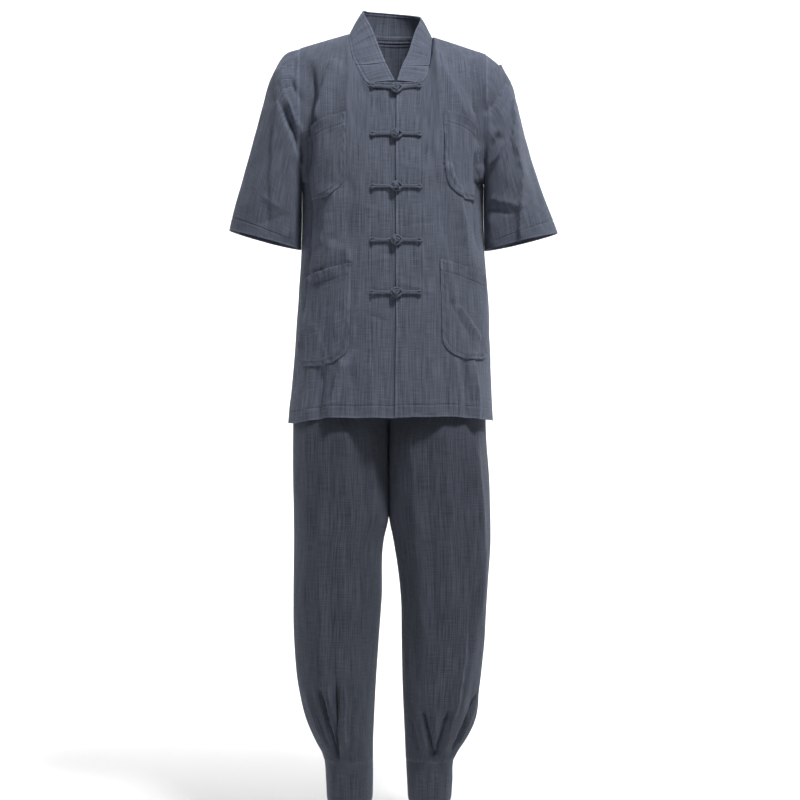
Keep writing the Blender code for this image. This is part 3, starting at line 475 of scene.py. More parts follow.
SLEEVE_FRONT_FOLDS = folds(
    (0.013, -0.006, 0.0, -0.205, -0.1, -0.19, -0.2),
    (0.02, 0.004, 0.0, -0.245, -0.15, -0.27, -0.33),
    (0.014, -0.007, 0.0, 0.218, -0.115, 0.19, -0.19),
    (0.014, 0.006, 0.0, 0.228, -0.15, 0.24, -0.38),
    (0.0092, 0.0101, 0.35, -0.207, -0.073, -0.209, -0.11),
    (0.008, 0.01, 0.45, -0.209, -0.11, -0.19, -0.16),
    (0.008, 0.0095, 0.45, -0.19, -0.16, -0.166, -0.198),
    (0.0075, -0.012, 0.0, -0.207, -0.152, -0.186, -0.2),
    (0.0085, -0.012, 0.0, -0.186, -0.2, -0.168, -0.25),
    (0.006, 0.008, 0.6, -0.216, -0.146, -0.194, -0.206, -0.164, -0.28),
    (0.0055, -0.0094, 0.0, -0.194, -0.092, -0.172, -0.136),
    (0.0074, -0.0058, 0.0, -0.181, -0.047, -0.187, -0.088),
    (0.0092, 0.0065, -0.6, -0.22, -0.08, -0.217, -0.155, -0.226, -0.222, -0.23, -0.349),
    (0.011, -0.0036, 0.0, -0.245, -0.159, -0.259, -0.23, -0.273, -0.316),
    (0.0092, 0.0051, 0.0, -0.194, -0.23, -0.196, -0.305, -0.2, -0.391),
    (0.0074, -0.0058, 0.0, -0.181, -0.23, -0.179, -0.391),
    (0.0055, 0.0026, 0.0, -0.245, -0.316, -0.215, -0.335),
    (0.0055, -0.002, 0.0, -0.256, -0.368, -0.2, -0.349),
    (0.0052, 0.008, -0.5, 0.213, -0.058, 0.189, -0.084, 0.168, -0.112, 0.159, -0.133),
    (0.0074, -0.013, 0.0, 0.213, -0.088, 0.196, -0.123, 0.174, -0.159),
    (0.0052, 0.0065, 0.5, 0.209, -0.215, 0.2, -0.239, 0.18, -0.262, 0.163, -0.275),
    (0.0074, -0.0087, 0.0, 0.2, -0.2, 0.185, -0.234, 0.167, -0.256),
    (0.0063, 0.0094, -0.6, 0.224, -0.133, 0.226, -0.178, 0.223, -0.211, 0.23, -0.236, 0.238, -0.271,
     0.239, -0.312, 0.236, -0.338, 0.239, -0.398),
    (0.004, 0.0038, 0.0, 0.221, -0.215, 0.215, -0.25, 0.215, -0.293),
    (0.0044, 0.0046, -0.5, 0.189, -0.318, 0.206, -0.327, 0.223, -0.329, 0.234, -0.338),
    (0.0055, -0.0043, 0.0, 0.187, -0.338, 0.223, -0.348),
    (0.0092, -0.0032, 0.0, 0.256, -0.23, 0.273, -0.316, 0.286, -0.372),
    (0.0074, 0.0043, 0.0, 0.191, -0.353, 0.189, -0.406),
)
SLEEVE_BACK_FOLDS = folds(
    (0.016, -0.006, 0.0, -0.22, -0.12, -0.2, -0.26),
    (0.018, 0.004, 0.0, -0.25, -0.18, -0.27, -0.37),
    (0.016, -0.006, 0.0, 0.215, -0.12, 0.198, -0.26),
    (0.018, 0.005, 0.0, 0.24, -0.17, 0.255, -0.37),
    (0.0085, 0.005, 0.35, -0.2, -0.06, -0.206, -0.13),
    (0.008, 0.005, 0.35, -0.206, -0.13, -0.18, -0.205),
    (0.006, -0.0058, 0.0, -0.222, -0.15, -0.186, -0.222),
    (0.01, 0.0045, -0.4, -0.23, -0.23, -0.234, -0.39),
    (0.008, -0.004, 0.0, -0.206, -0.25, -0.204, -0.395),
    (0.0085, 0.005, -0.35, 0.202, -0.072, 0.208, -0.14),
    (0.008, 0.005, -0.35, 0.208, -0.14, 0.182, -0.212),
    (0.006, -0.0058, 0.0, 0.224, -0.16, 0.188, -0.228),
    (0.01, 0.005, 0.4, 0.234, -0.22, 0.24, -0.392),
    (0.008, -0.004, 0.0, 0.208, -0.25, 0.206, -0.396),
)
TROUSER_FRONT_FOLDS = folds(
    (0.02, 0.005, 0.0, -0.14, -0.826, -0.142, -1.25),
    (0.022, -0.0035, 0.0, -0.07, -0.76, -0.085, -1.15),
    (0.014, 0.0045, 0.0, 0.16, -0.752, 0.168, -1.066, 0.13, -1.29),
    (0.026, 0.004, 0.0, 0.06, -0.8, 0.07, -1.23),
    (0.009, -0.0035, 0.0, -0.134, -1.24, -0.107, -1.375),
    (0.008, -0.003, 0.0, -0.106, -1.235, -0.102, -1.375),
    (0.008, 0.005, 0.0, -0.121, -1.25, -0.11, -1.35),
    (0.009, -0.0035, 0.0, 0.061, -1.29, 0.076, -1.375),
    (0.009, -0.0035, 0.0, 0.102, -1.288, 0.08, -1.375),
    (0.01, -0.006, 0.0, 0.154, -1.245, 0.112, -1.365),
    (0.0074, 0.0072, -0.5, -0.132, -1.066, -0.134, -1.158, -0.13, -1.25),
    (0.0028, -0.01, 0.62, -0.134, -1.236, -0.118, -1.298),
    (0.0034, -0.012, 0.62, -0.118, -1.298, -0.103, -1.36),
    (0.0044, 0.005, -0.5, -0.123, -1.235, -0.108, -1.294, -0.097, -1.349),
    (0.0036, -0.0125, 0.5, -0.104, -1.226, -0.101, -1.362),
    (0.0052, 0.0065, 0.5, -0.09, -1.231, -0.09, -1.346),
    (0.0044, -0.0045, 0.0, -0.075, -1.261, -0.081, -1.355),
    (0.0048, -0.0035, 0.0, -0.059, -1.279, -0.066, -1.355),
    (0.0048, -0.005, 0.0, -0.151, -1.272, -0.121, -1.342),
    (0.0055, 0.0058, 0.0, -0.162, -1.25, -0.136, -1.327),
    (0.0059, 0.0087, 0.5, 0.139, -1.132, 0.129, -1.213, 0.118, -1.283),
    (0.0028, -0.01, 0.62, 0.059, -1.279, 0.069, -1.32),
    (0.0034, -0.012, 0.62, 0.069, -1.32, 0.078, -1.362),
    (0.0032, -0.01, -0.55, 0.1, -1.279, 0.089, -1.32),
    (0.0036, -0.0125, -0.55, 0.089, -1.32, 0.078, -1.362),
    (0.0048, 0.0045, 0.0, 0.08, -1.276, 0.08, -1.335),
    (0.0048, 0.004, 0.0, 0.045, -1.279, 0.063, -1.353),
    (0.0044, -0.0035, 0.0, 0.034, -1.294, 0.05, -1.355),
    (0.006, -0.0105, -0.55, 0.157, -1.255, 0.135, -1.309, 0.115, -1.352),
    (0.0044, 0.005, 0.0, 0.166, -1.257, 0.144, -1.309, 0.126, -1.349),
    (0.0048, 0.004, 0.0, 0.115, -1.279, 0.1, -1.353),
    (0.011, 0.0051, 0.0, -0.088, -0.752, -0.079, -0.918, -0.075, -1.121),
    (0.0092, -0.0051, 0.0, -0.114, -0.793, -0.121, -0.992, -0.114, -1.195),
    (0.0092, -0.0058, 0.0, -0.049, -0.771, -0.055, -0.955, -0.062, -1.139),
    (0.0092, 0.0043, 0.0, -0.16, -0.752, -0.156, -0.918, -0.164, -1.084),
    (0.0064, -0.0038, 0.0, -0.142, -0.826, -0.147, -0.992),
    (0.0059, 0.0038, 0.0, -0.097, -0.955, -0.092, -1.139),
    (0.0063, 0.0046, 0.0, -0.035, -0.789, -0.04, -0.918),
    (0.0066, 0.0043, 0.0, -0.071, -1.158, -0.075, -1.25),
    (0.0092, 0.0058, 0.0, 0.035, -0.771, 0.043, -0.955, 0.058, -1.139),
    (0.0092, -0.0058, 0.0, 0.065, -0.789, 0.072, -0.992, 0.083, -1.176),
    (0.0092, 0.0052, 0.0, 0.1, -0.771, 0.105, -0.955, 0.105, -1.139),
    (0.0083, -0.0046, 0.0, 0.128, -0.826, 0.135, -0.992),
    (0.0074, 0.0061, 0.5, 0.159, -0.789, 0.172, -0.992, 0.164, -1.102),
    (0.0059, 0.0038, 0.0, 0.05, -0.918, 0.065, -1.102),
    (0.0063, 0.0043, 0.0, 0.089, -1.066, 0.081, -1.231),
    (0.0063, -0.0046, 0.0, 0.035, -1.066, 0.045, -1.231),
    (0.0063, -0.0052, 0.0, 0.15, -1.047, 0.139, -1.158),
)
TROUSER_BACK_FOLDS = folds(
    (0.022, 0.005, 0.0, -0.12, -0.83, -0.125, -1.25),
    (0.022, 0.005, 0.0, 0.115, -0.83, 0.11, -1.25),
    (0.011, -0.008, 0.0, -0.125, -1.24, -0.105, -1.375),
    (0.011, -0.008, 0.0, -0.08, -1.25, -0.085, -1.375),
    (0.011, -0.008, 0.0, 0.05, -1.26, 0.06, -1.375),
    (0.011, -0.008, 0.0, 0.105, -1.25, 0.09, -1.375),
    (0.0042, -0.0066, 0.0, -0.124, -1.262, -0.106, -1.378),
    (0.0045, 0.0048, 0.0, -0.112, -1.264, -0.098, -1.372),
    (0.0042, -0.0066, 0.0, -0.081, -1.27, -0.084, -1.378),
    (0.0045, 0.004, 0.0, -0.07, -1.276, -0.07, -1.372),
    (0.0042, -0.0066, 0.0, 0.051, -1.275, 0.06, -1.378),
    (0.0045, 0.0042, 0.0, 0.064, -1.28, 0.07, -1.374),
    (0.0042, -0.0066, 0.0, 0.104, -1.27, 0.091, -1.378),
    (0.011, -0.0056, 0.0, -0.15, -0.78, -0.06, -0.85),
    (0.011, -0.0056, 0.0, 0.13, -0.78, 0.05, -0.85),
    (0.0095, 0.0045, 0.0, -0.15, -0.84, -0.07, -0.895),
    (0.0095, 0.0045, 0.0, 0.14, -0.84, 0.06, -0.895),
    (0.011, -0.006, 0.0, -0.08, -0.93, -0.086, -1.24),
    (0.0095, 0.0056, 0.4, -0.12, -0.9, -0.128, -1.23),
    (0.0095, -0.005, 0.0, -0.158, -0.86, -0.162, -1.2),
    (0.009, 0.0046, 0.0, -0.05, -1.0, -0.056, -1.28),
    (0.011, -0.006, 0.0, 0.06, -0.93, 0.066, -1.24),
    (0.0095, 0.0056, -0.4, 0.096, -0.9, 0.104, -1.23),
    (0.0095, -0.005, 0.0, 0.14, -0.86, 0.146, -1.2),
    (0.009, 0.0046, 0.0, 0.034, -1.0, 0.04, -1.28),
)


@dataclass(frozen=True)
class Drape:
    """Folds of the front and of the back of one part of the suit, with fine ripples."""

    front: tuple[Fold, ...]
    back: tuple[Fold, ...]
    seed: int
    fade_depth: float = 0.030
    ripples: tuple[tuple[float, float, float], ...] = (
        # swell across, swell along, height
        (0.060, 0.130, 0.0020),
        (0.024, 0.060, 0.0009),
        (0.010, 0.022, 0.00035),
    )

    def lift(self, points: np.ndarray, u: np.ndarray, calm: np.ndarray | float = 1.0) -> np.ndarray:
        """Height of the cloth over its smooth block.

        Args:
            points: points of the block.
            u: place across the grain of each point.
            calm: 1 where ripples may show and 0 on a seam.

        Returns:
            How far each point stands out.
        """
        total = self.relief(points, self.fade_depth)
        z = points[..., 2]
        for number, (across, along, height) in enumerate(self.ripples):
            noise = soft_noise(u, z, (across, along), self.seed + number)
            total = total + height * noise * calm
        return total

    def relief(self, points: np.ndarray, fade_depth: float) -> np.ndarray:
        """Height of the drawn folds alone.

        Args:
            points: points of the block.
            fade_depth: distance from the middle plane at which they have their full height.

        Returns:
            How far each point stands out.
        """
        x, y, z = points[..., 0], points[..., 1], points[..., 2]
        front = sum(fold.lift(x, z) for fold in self.front)
        back = sum(fold.lift(x, z) for fold in self.back)
        return np.where(y < 0, front, back) * soft_step(np.abs(y) / fade_depth)


@dataclass
class Sheet:
    """Outer face of a cloth piece as a grid of points, with its grain in metres."""

    points: np.ndarray
    grain_u: np.ndarray
    grain_v: np.ndarray
    closed: bool = False
    normals: np.ndarray = field(init=False)

    def __post_init__(self) -> None:
        """Works out the normals."""
        self.normals = grid_normals(self.points, self.closed)

    def at(self, u: Sequence[float], v: Sequence[float]) -> tuple[np.ndarray, np.ndarray]:
        """Points and normals at places of the grain.

        Args:
            u: places across.
            v: places along.

        Returns:
            The points and the unit normals there.
        """
        rows, columns = self.points.shape[:2]
        r = np.interp(v, self.grain_v, np.arange(rows))
        c = np.interp(u, self.grain_u, np.arange(len(self.grain_u)))
        r0 = np.minimum(r.astype(int), rows - 2)
        c0 = np.minimum(c.astype(int), len(self.grain_u) - 2)
        fr, fc = (r - r0)[:, None], (c - c0)[:, None]
        c1 = (c0 + 1) % columns

        def mix(values: np.ndarray) -> np.ndarray:
            """Values between the four grid points round each place.

            Args:
                values: one row of values for each grid point.

            Returns:
                One row for each place.
            """
            low = values[r0, c0] * (1 - fc) + values[r0, c1] * fc
            high = values[r0 + 1, c0] * (1 - fc) + values[r0 + 1, c1] * fc
            return low * (1 - fr) + high * fr

        normal = mix(self.normals)
        return mix(self.points), normal / np.linalg.norm(normal, axis=1, keepdims=True)


def grain_along(points: np.ndarray) -> np.ndarray:
    """Mean length along the columns up to each row of a grid."""
    steps = np.linalg.norm(np.diff(points, axis=0), axis=2).mean(axis=1)
    return np.concatenate([[0.0], np.cumsum(steps)])


def edge_distance(sheet: Sheet) -> np.ndarray:
    """Distance of each grid point from the sheet's nearest edge.

    Args:
        sheet: the sheet.

    Returns:
        Distances in metres.
    """
    v = np.minimum(sheet.grain_v, sheet.grain_v[-1] - sheet.grain_v)[:, None]
    columns = sheet.points.shape[1]
    if sheet.closed:
        return np.broadcast_to(v, (len(sheet.grain_v), columns)).copy()
    u = np.minimum(sheet.grain_u - sheet.grain_u[0], sheet.grain_u[-1] - sheet.grain_u)[None]
    return np.minimum(u, v)


def add_mesh(
    name: str,
    points: np.ndarray,
    faces: np.ndarray | list[tuple[int, ...]],
    material: bpy.types.Material,
    grain: np.ndarray | None = None,
    wear: np.ndarray | None = None,
) -> bpy.types.Object:
    """Add one mesh piece to the scene.

    Args:
        name: the piece's name.
        points: its points.
        faces: its faces, as point numbers.
        material: its finish.
        grain: grain place of each face corner, in the faces' order.
        wear: how much painted edge highlight each point takes, 0 to 1.

    Returns:
        The piece.
    """
    data = bpy.data.meshes.new(name)
    data.from_pydata(points.reshape(-1, 3).tolist(), [], [tuple(face) for face in faces])
    layer = data.uv_layers.new(name=GRAIN_MAP)
    if grain is not None:
        layer.data.foreach_set("uv", np.asarray(grain, np.float32).ravel())
    # This point mask carries the painted edge highlight.
    mask = data.attributes.new(EDGE_HIGHLIGHT, "FLOAT", "POINT")
    if wear is not None:
        mask.data.foreach_set("value", np.asarray(wear, np.float32).ravel())
    data.materials.append(material)
    data.shade_smooth()
    data.set_sharp_from_angle(angle=math.radians(55))
    piece = bpy.data.objects.new(name, data)
    bpy.context.scene.collection.objects.link(piece)
    return piece


def add_cloth(name: str, sheet: Sheet, material: bpy.types.Material, wall: float) -> bpy.types.Object:
    """Add a closed thin shell behind the face of a sheet.

    Args:
        name: the piece's name.
        sheet: its outer face.
        material: its finish.
        wall: thickness of the cloth.

    Returns:
        The piece.
    """
    rows, columns = sheet.points.shape[:2]
    inner = sheet.points - sheet.normals * wall
    points = np.concatenate([sheet.points.reshape(-1, 3), inner.reshape(-1, 3)])
    spans = columns if sheet.closed else columns - 1
    r, c = np.meshgrid(np.arange(rows - 1), np.arange(spans), indexing="ij")
    r, c = r.ravel(), c.ravel()
    d = (c + 1) % columns
    corner = np.stack([r * columns + c, r * columns + d, (r + 1) * columns + d, (r + 1) * columns + c], 1)
    place = np.stack([r, r, r + 1, r + 1], 1), np.stack([c, c + 1, c + 1, c], 1)
    back = rows * columns
    faces = [corner, corner[:, ::-1] + back]
    grains = [place, (place[0][:, ::-1], place[1][:, ::-1])]

    def rim(ra: np.ndarray, ca: np.ndarray, rb: np.ndarray, cb: np.ndarray) -> None:
        """Closes the gap between the faces along an edge.

        Args:
            ra: row of each place.
            ca: column of it.
            rb: row of the next place.
            cb: column of that.
        """
        a, b = ra * columns + ca % columns, rb * columns + cb % columns
        faces.append(np.stack([b, a, a + back, b + back], 1))
        grains.append((np.stack([rb, ra, ra, rb], 1), np.stack([cb, ca, ca, cb], 1)))

    c = np.arange(spans)
    bottom, top = 0 * c, 0 * c + rows - 1
    rim(bottom, c, bottom, c + 1)
    rim(top, c + 1, top, c)
    if not sheet.closed:
        r = np.arange(rows - 1)
        first, end = 0 * r, 0 * r + columns - 1
        rim(r + 1, first, r, first)
        rim(r, end, r + 1, end)
    grain = np.concatenate(
        [np.stack([sheet.grain_u[cs], sheet.grain_v[rs]], -1).reshape(-1, 2) for rs, cs in grains]
    )
    # Painted highlight: cloth within a few millimetres of an edge is made paler.
    highlight_reach = 0.0022
    wear = np.tile(np.exp(-edge_distance(sheet) / highlight_reach).ravel(), 2)
    return add_mesh(name, points, np.concatenate(faces).tolist(), material, grain, wear)


def tube(path: np.ndarray, radii: np.ndarray, sides: int, closed: bool) -> tuple[np.ndarray, list]:
    """Points and faces of a cord along a path.

    Args:
        path: points of its middle line.
        radii: radius at each point.
        sides: corners of its cross-section.
        closed: whether the end joins the start.

    Returns:
        The points and the faces, with round ends closed on an open cord.
    """
    count = len(path)
    if closed:
        way = np.roll(path, -1, axis=0) - np.roll(path, 1, axis=0)
    else:
        way = np.gradient(path, axis=0)
    way /= np.linalg.norm(way, axis=1, keepdims=True)
    aside = np.zeros_like(path)
    guess = np.cross(way[0], [0.3, 1.0, 0.2])
    for index in range(count):
        guess = guess - way[index] * np.dot(guess, way[index])
        guess /= np.linalg.norm(guess)
        aside[index] = guess
    other = np.cross(way, aside)
    turn = np.linspace(0, 2 * math.pi, sides, endpoint=False)
    ring = aside[:, None] * np.cos(turn)[:, None] + other[:, None] * np.sin(turn)[:, None]
    points = path[:, None] + ring * radii[:, None, None]
    shift = 0
    if closed:
        gaps = [np.linalg.norm(points[0] - np.roll(points[-1], -k, axis=0)) for k in range(sides)]
        shift = int(np.argmin(gaps))
    faces = []
    for index in range(count if closed else count - 1):
        after = (index + 1) % count
        offset = shift if closed and after == 0 else 0
        for c in range(sides):
            d = (c + 1) % sides
            e, f = (c - offset) % sides, (d - offset) % sides
            faces.append((index * sides + c, index * sides + d, after * sides + f, after * sides + e))
    if not closed:
        faces.append(tuple(reversed(range(sides))))
        faces.append(tuple(range((count - 1) * sides, count * sides)))
    return points.reshape(-1, 3), faces


# ---- finishes ----


def new_group(
    name: str, inputs: dict[str, tuple[str, float]], outputs: dict[str, str]
) -> bpy.types.NodeTree:
    """Start a shader node group.

    Args:
        name: the group's name.
        inputs: socket name to its kind and value.
        outputs: socket name to its kind.

    Returns:
        The group, with its input and output nodes named In and Out.
    """
    tree = bpy.data.node_groups.new(name, "ShaderNodeTree")
    for label, (kind, value) in inputs.items():
        socket = tree.interface.new_socket(label, in_out="INPUT", socket_type=kind)
        if kind == "NodeSocketFloat":
            socket.default_value = value
    for label, kind in outputs.items():
        tree.interface.new_socket(label, in_out="OUTPUT", socket_type=kind)
    tree.nodes.new("NodeGroupInput").name = "In"
    tree.nodes.new("NodeGroupOutput").name = "Out"
    return tree


class Wiring:
    """Short ways to add linked nodes to one tree."""

    def __init__(self, tree: bpy.types.NodeTree) -> None:
        """Keeps the tree."""
        self.tree = tree

    def link(self, source: object, target: bpy.types.NodeSocket) -> None:
        """Feed a socket from another socket or a constant.

        Args:
            source: an output socket, a number or a tuple.
            target: the socket to feed.
        """
        if isinstance(source, bpy.types.NodeSocket):
            self.tree.links.new(source, target)
        else:
            target.default_value = source

    def maths(self, operation: str, *values: object) -> bpy.types.NodeSocket:
        """A Math node's result.

        Args:
            operation: Blender's name of the operation.
            values: sockets or numbers.

        Returns:
            The output socket.
        """
        node = self.tree.nodes.new("ShaderNodeMath")
        node.operation = operation
        for number, value in enumerate(values):
            self.link(value, node.inputs[number])
        return node.outputs[0]

    def stretched_noise(
        self, vector: bpy.types.NodeSocket, scale: tuple[float, float, float], detail: float
    ) -> bpy.types.NodeSocket:
        """Noise drawn out along the grain.

        Args:
            vector: grain places.
            scale: cells for each metre across, along and through.
            detail: octaves.

        Returns:
            The noise, 0 to 1.
        """
        stretch = self.tree.nodes.new("ShaderNodeVectorMath")
        stretch.operation = "MULTIPLY"
        self.link(vector, stretch.inputs[0])
        stretch.inputs[1].default_value = scale
        noise = self.tree.nodes.new("ShaderNodeTexNoise")
        noise.inputs["Scale"].default_value = 1.0
        noise.inputs["Detail"].default_value = detail
        self.link(stretch.outputs[0], noise.inputs["Vector"])
        return noise.outputs["Fac"]


def build_weave_group() -> bpy.types.NodeTree:
    """Plain weave with slubs both ways: a shade factor and a height.

    Returns:
        The group.
    """
    tree = new_group(
        "slub_weave",
        {
            "Grain": ("NodeSocketVector", 0.0),
            "Threads": ("NodeSocketFloat", 1250.0),
            "Slub": ("NodeSocketFloat", 0.3),
            "Weave": ("NodeSocketFloat", 0.15),
            "Mottle": ("NodeSocketFloat", 0.15),
        },
        {"Shade": "NodeSocketFloat", "Height": "NodeSocketFloat"},
    )
    wire, inside, out = Wiring(tree), tree.nodes["In"].outputs, tree.nodes["Out"].inputs
    split = tree.nodes.new("ShaderNodeSeparateXYZ")
    wire.link(inside["Grain"], split.inputs[0])
    sines = []
    for axis in ("X", "Y"):
        phase = wire.maths("MULTIPLY", split.outputs[axis], inside["Threads"])
        sines.append(wire.maths("SINE", wire.maths("MULTIPLY", phase, math.pi)))
    check = wire.maths("MULTIPLY_ADD", wire.maths("MULTIPLY", *sines), 0.5, 0.5)
    warp = wire.stretched_noise(inside["Grain"], (560.0, 15.0, 1.0), 3.0)
    weft = wire.stretched_noise(inside["Grain"], (38.0, 620.0, 1.0), 3.0)
    cloud = wire.stretched_noise(inside["Grain"], (16.0, 11.0, 1.0), 3.0)
    slub = wire.maths("SUBTRACT", wire.maths("MULTIPLY_ADD", weft, 0.55, warp), 0.775)
    shade = wire.maths("MULTIPLY_ADD", slub, inside["Slub"], 1.0)
    shade = wire.maths("MULTIPLY_ADD", wire.maths("SUBTRACT", check, 0.5), inside["Weave"], shade)
    shade = wire.maths("MULTIPLY_ADD", wire.maths("SUBTRACT", cloud, 0.5), inside["Mottle"], shade)
    wire.link(shade, out["Shade"])
    wire.link(wire.maths("MULTIPLY_ADD", slub, 0.6, check), out["Height"])
    return tree


def build_edge_highlight_group() -> bpy.types.NodeTree:
    """Colour with the shade of the weave, made paler along edges as a painted highlight.

    Returns:
        The group.
    """
    tree = new_group(
        "painted_edge_highlight",
        {
            "Colour": ("NodeSocketColor", 0.0),
            "Shade": ("NodeSocketFloat", 1.0),
            "Highlight": ("NodeSocketFloat", 0.0),
            "Lift": ("NodeSocketFloat", 0.25),
        },
        {"Colour": "NodeSocketColor"},
    )
    wire, inside, out = Wiring(tree), tree.nodes["In"].outputs, tree.nodes["Out"].inputs
    # Painted highlight: the colour is made paler by the edge mask times the lift.
    gain = wire.maths("MULTIPLY_ADD", inside["Highlight"], inside["Lift"], 1.0)
    gain = wire.maths("MULTIPLY", gain, inside["Shade"])
    scale = tree.nodes.new("ShaderNodeVectorMath")
    scale.operation = "SCALE"
    wire.link(inside["Colour"], scale.inputs[0])
    wire.link(gain, scale.inputs["Scale"])
    wire.link(scale.outputs[0], out["Colour"])
    return tree


@dataclass(frozen=True)
class ClothFinish:
    """Matt slubby plain-weave cloth."""

    name: str
    colour: tuple[float, float, float]
    threads: float = 1250.0
    slub: float = 1.85
    weave: float = 0.14
    mottle: float = 0.16
    # How much paler the painted edge highlight makes the cloth at an edge.
    highlight_gain: float = 0.50
    roughness: float = 0.88
    sheen: float = 0.22
    relief: float = 0.00045

    def build(self, weave: bpy.types.NodeTree, wear: bpy.types.NodeTree) -> bpy.types.Material:
        """Make the material.

        Args:
            weave: the weave group.
            wear: the group that paints highlights along edges.

        Returns:
            The material.
        """
        material = bpy.data.materials.new(self.name)
        material.use_nodes = True
        tree = material.node_tree
        wire, shader = Wiring(tree), tree.nodes["Principled BSDF"]
        grain = tree.nodes.new("ShaderNodeUVMap")
        grain.uv_map = GRAIN_MAP
        threads = tree.nodes.new("ShaderNodeGroup")
        threads.node_tree = weave
        wire.link(grain.outputs[0], threads.inputs["Grain"])
        for label, value in (
            ("Threads", self.threads),
            ("Slub", self.slub),
            ("Weave", self.weave),
            ("Mottle", self.mottle),
        ):
            threads.inputs[label].default_value = value
        # The edge mask drives the painted edge highlight on the base colour.
        mask = tree.nodes.new("ShaderNodeAttribute")
        mask.attribute_name = EDGE_HIGHLIGHT
        highlight_node = tree.nodes.new("ShaderNodeGroup")
        highlight_node.node_tree = wear
        highlight_node.inputs["Colour"].default_value = (*self.colour, 1.0)
        highlight_node.inputs["Lift"].default_value = self.highlight_gain
        wire.link(threads.outputs["Shade"], highlight_node.inputs["Shade"])
        wire.link(mask.outputs["Fac"], highlight_node.inputs["Highlight"])
        wire.link(highlight_node.outputs["Colour"], shader.inputs["Base Color"])
        bump = tree.nodes.new("ShaderNodeBump")
        bump.inputs["Strength"].default_value = 0.8
        bump.inputs["Distance"].default_value = self.relief
        wire.link(threads.outputs["Height"], bump.inputs["Height"])
        wire.link(bump.outputs["Normal"], shader.inputs["Normal"])
        shader.inputs["Roughness"].default_value = self.roughness
        shader.inputs["Specular IOR Level"].default_value = 0.25
        shader.inputs["Sheen Weight"].default_value = self.sheen
        shader.inputs["Sheen Roughness"].default_value = 0.5
        shader.inputs["Sheen Tint"].default_value = (0.62, 0.70, 0.88, 1.0)
        return material


@dataclass(frozen=True)
class StudioFinish:
    """Plain matt backdrop paper."""

    name: str = "backdrop_paper"
    colour: tuple[float, float, float] = (0.92, 0.92, 0.92)

    def build(self) -> bpy.types.Material:
        """Make the material.

        Returns:
            The material, with a faint mottle.
        """
        material = bpy.data.materials.new(self.name)
        material.use_nodes = True
        tree = material.node_tree
        noise = tree.nodes.new("ShaderNodeTexNoise")
        noise.inputs["Scale"].default_value = 3.0
        ramp = tree.nodes.new("ShaderNodeValToRGB")
        ramp.color_ramp.elements[0].color = (*(0.985 * c for c in self.colour), 1.0)
        ramp.color_ramp.elements[1].color = (*self.colour, 1.0)
        tree.links.new(noise.outputs["Fac"], ramp.inputs["Fac"])
        shader = tree.nodes["Principled BSDF"]
        tree.links.new(ramp.outputs["Color"], shader.inputs["Base Color"])
        shader.inputs["Roughness"].default_value = 0.95
        return material


@dataclass
class Finishes:
    """Every material of the suit, built once."""

    jacket: bpy.types.Material
    trousers: bpy.types.Material
    cord: bpy.types.Material
    thread: bpy.types.Material

    @classmethod
    def make(cls) -> Finishes:
        """Builds the groups and the materials.

        Returns:
            The three finishes.
        """
        weave, wear = build_weave_group(), build_edge_highlight_group()
        return cls(
            jacket=ClothFinish("jacket_cloth", (0.098, 0.111, 0.150)).build(weave, wear),
            # The trouser colour is a darker copy of the jacket cloth: painted shade for the light falling
            # off towards the floor.
            trousers=ClothFinish("trouser_cloth", (0.059, 0.066, 0.088)).build(weave, wear),
            cord=ClothFinish(
                "frog_cord", (0.084, 0.096, 0.130), slub=0.4, relief=0.00012, sheen=0.45
            ).build(weave, wear),
            thread=ClothFinish(
                "sewing_thread", (0.062, 0.070, 0.094), slub=0.1, weave=0.0, relief=0.00005, sheen=0.35
            ).build(weave, wear),
        )


# ---- stitching ----


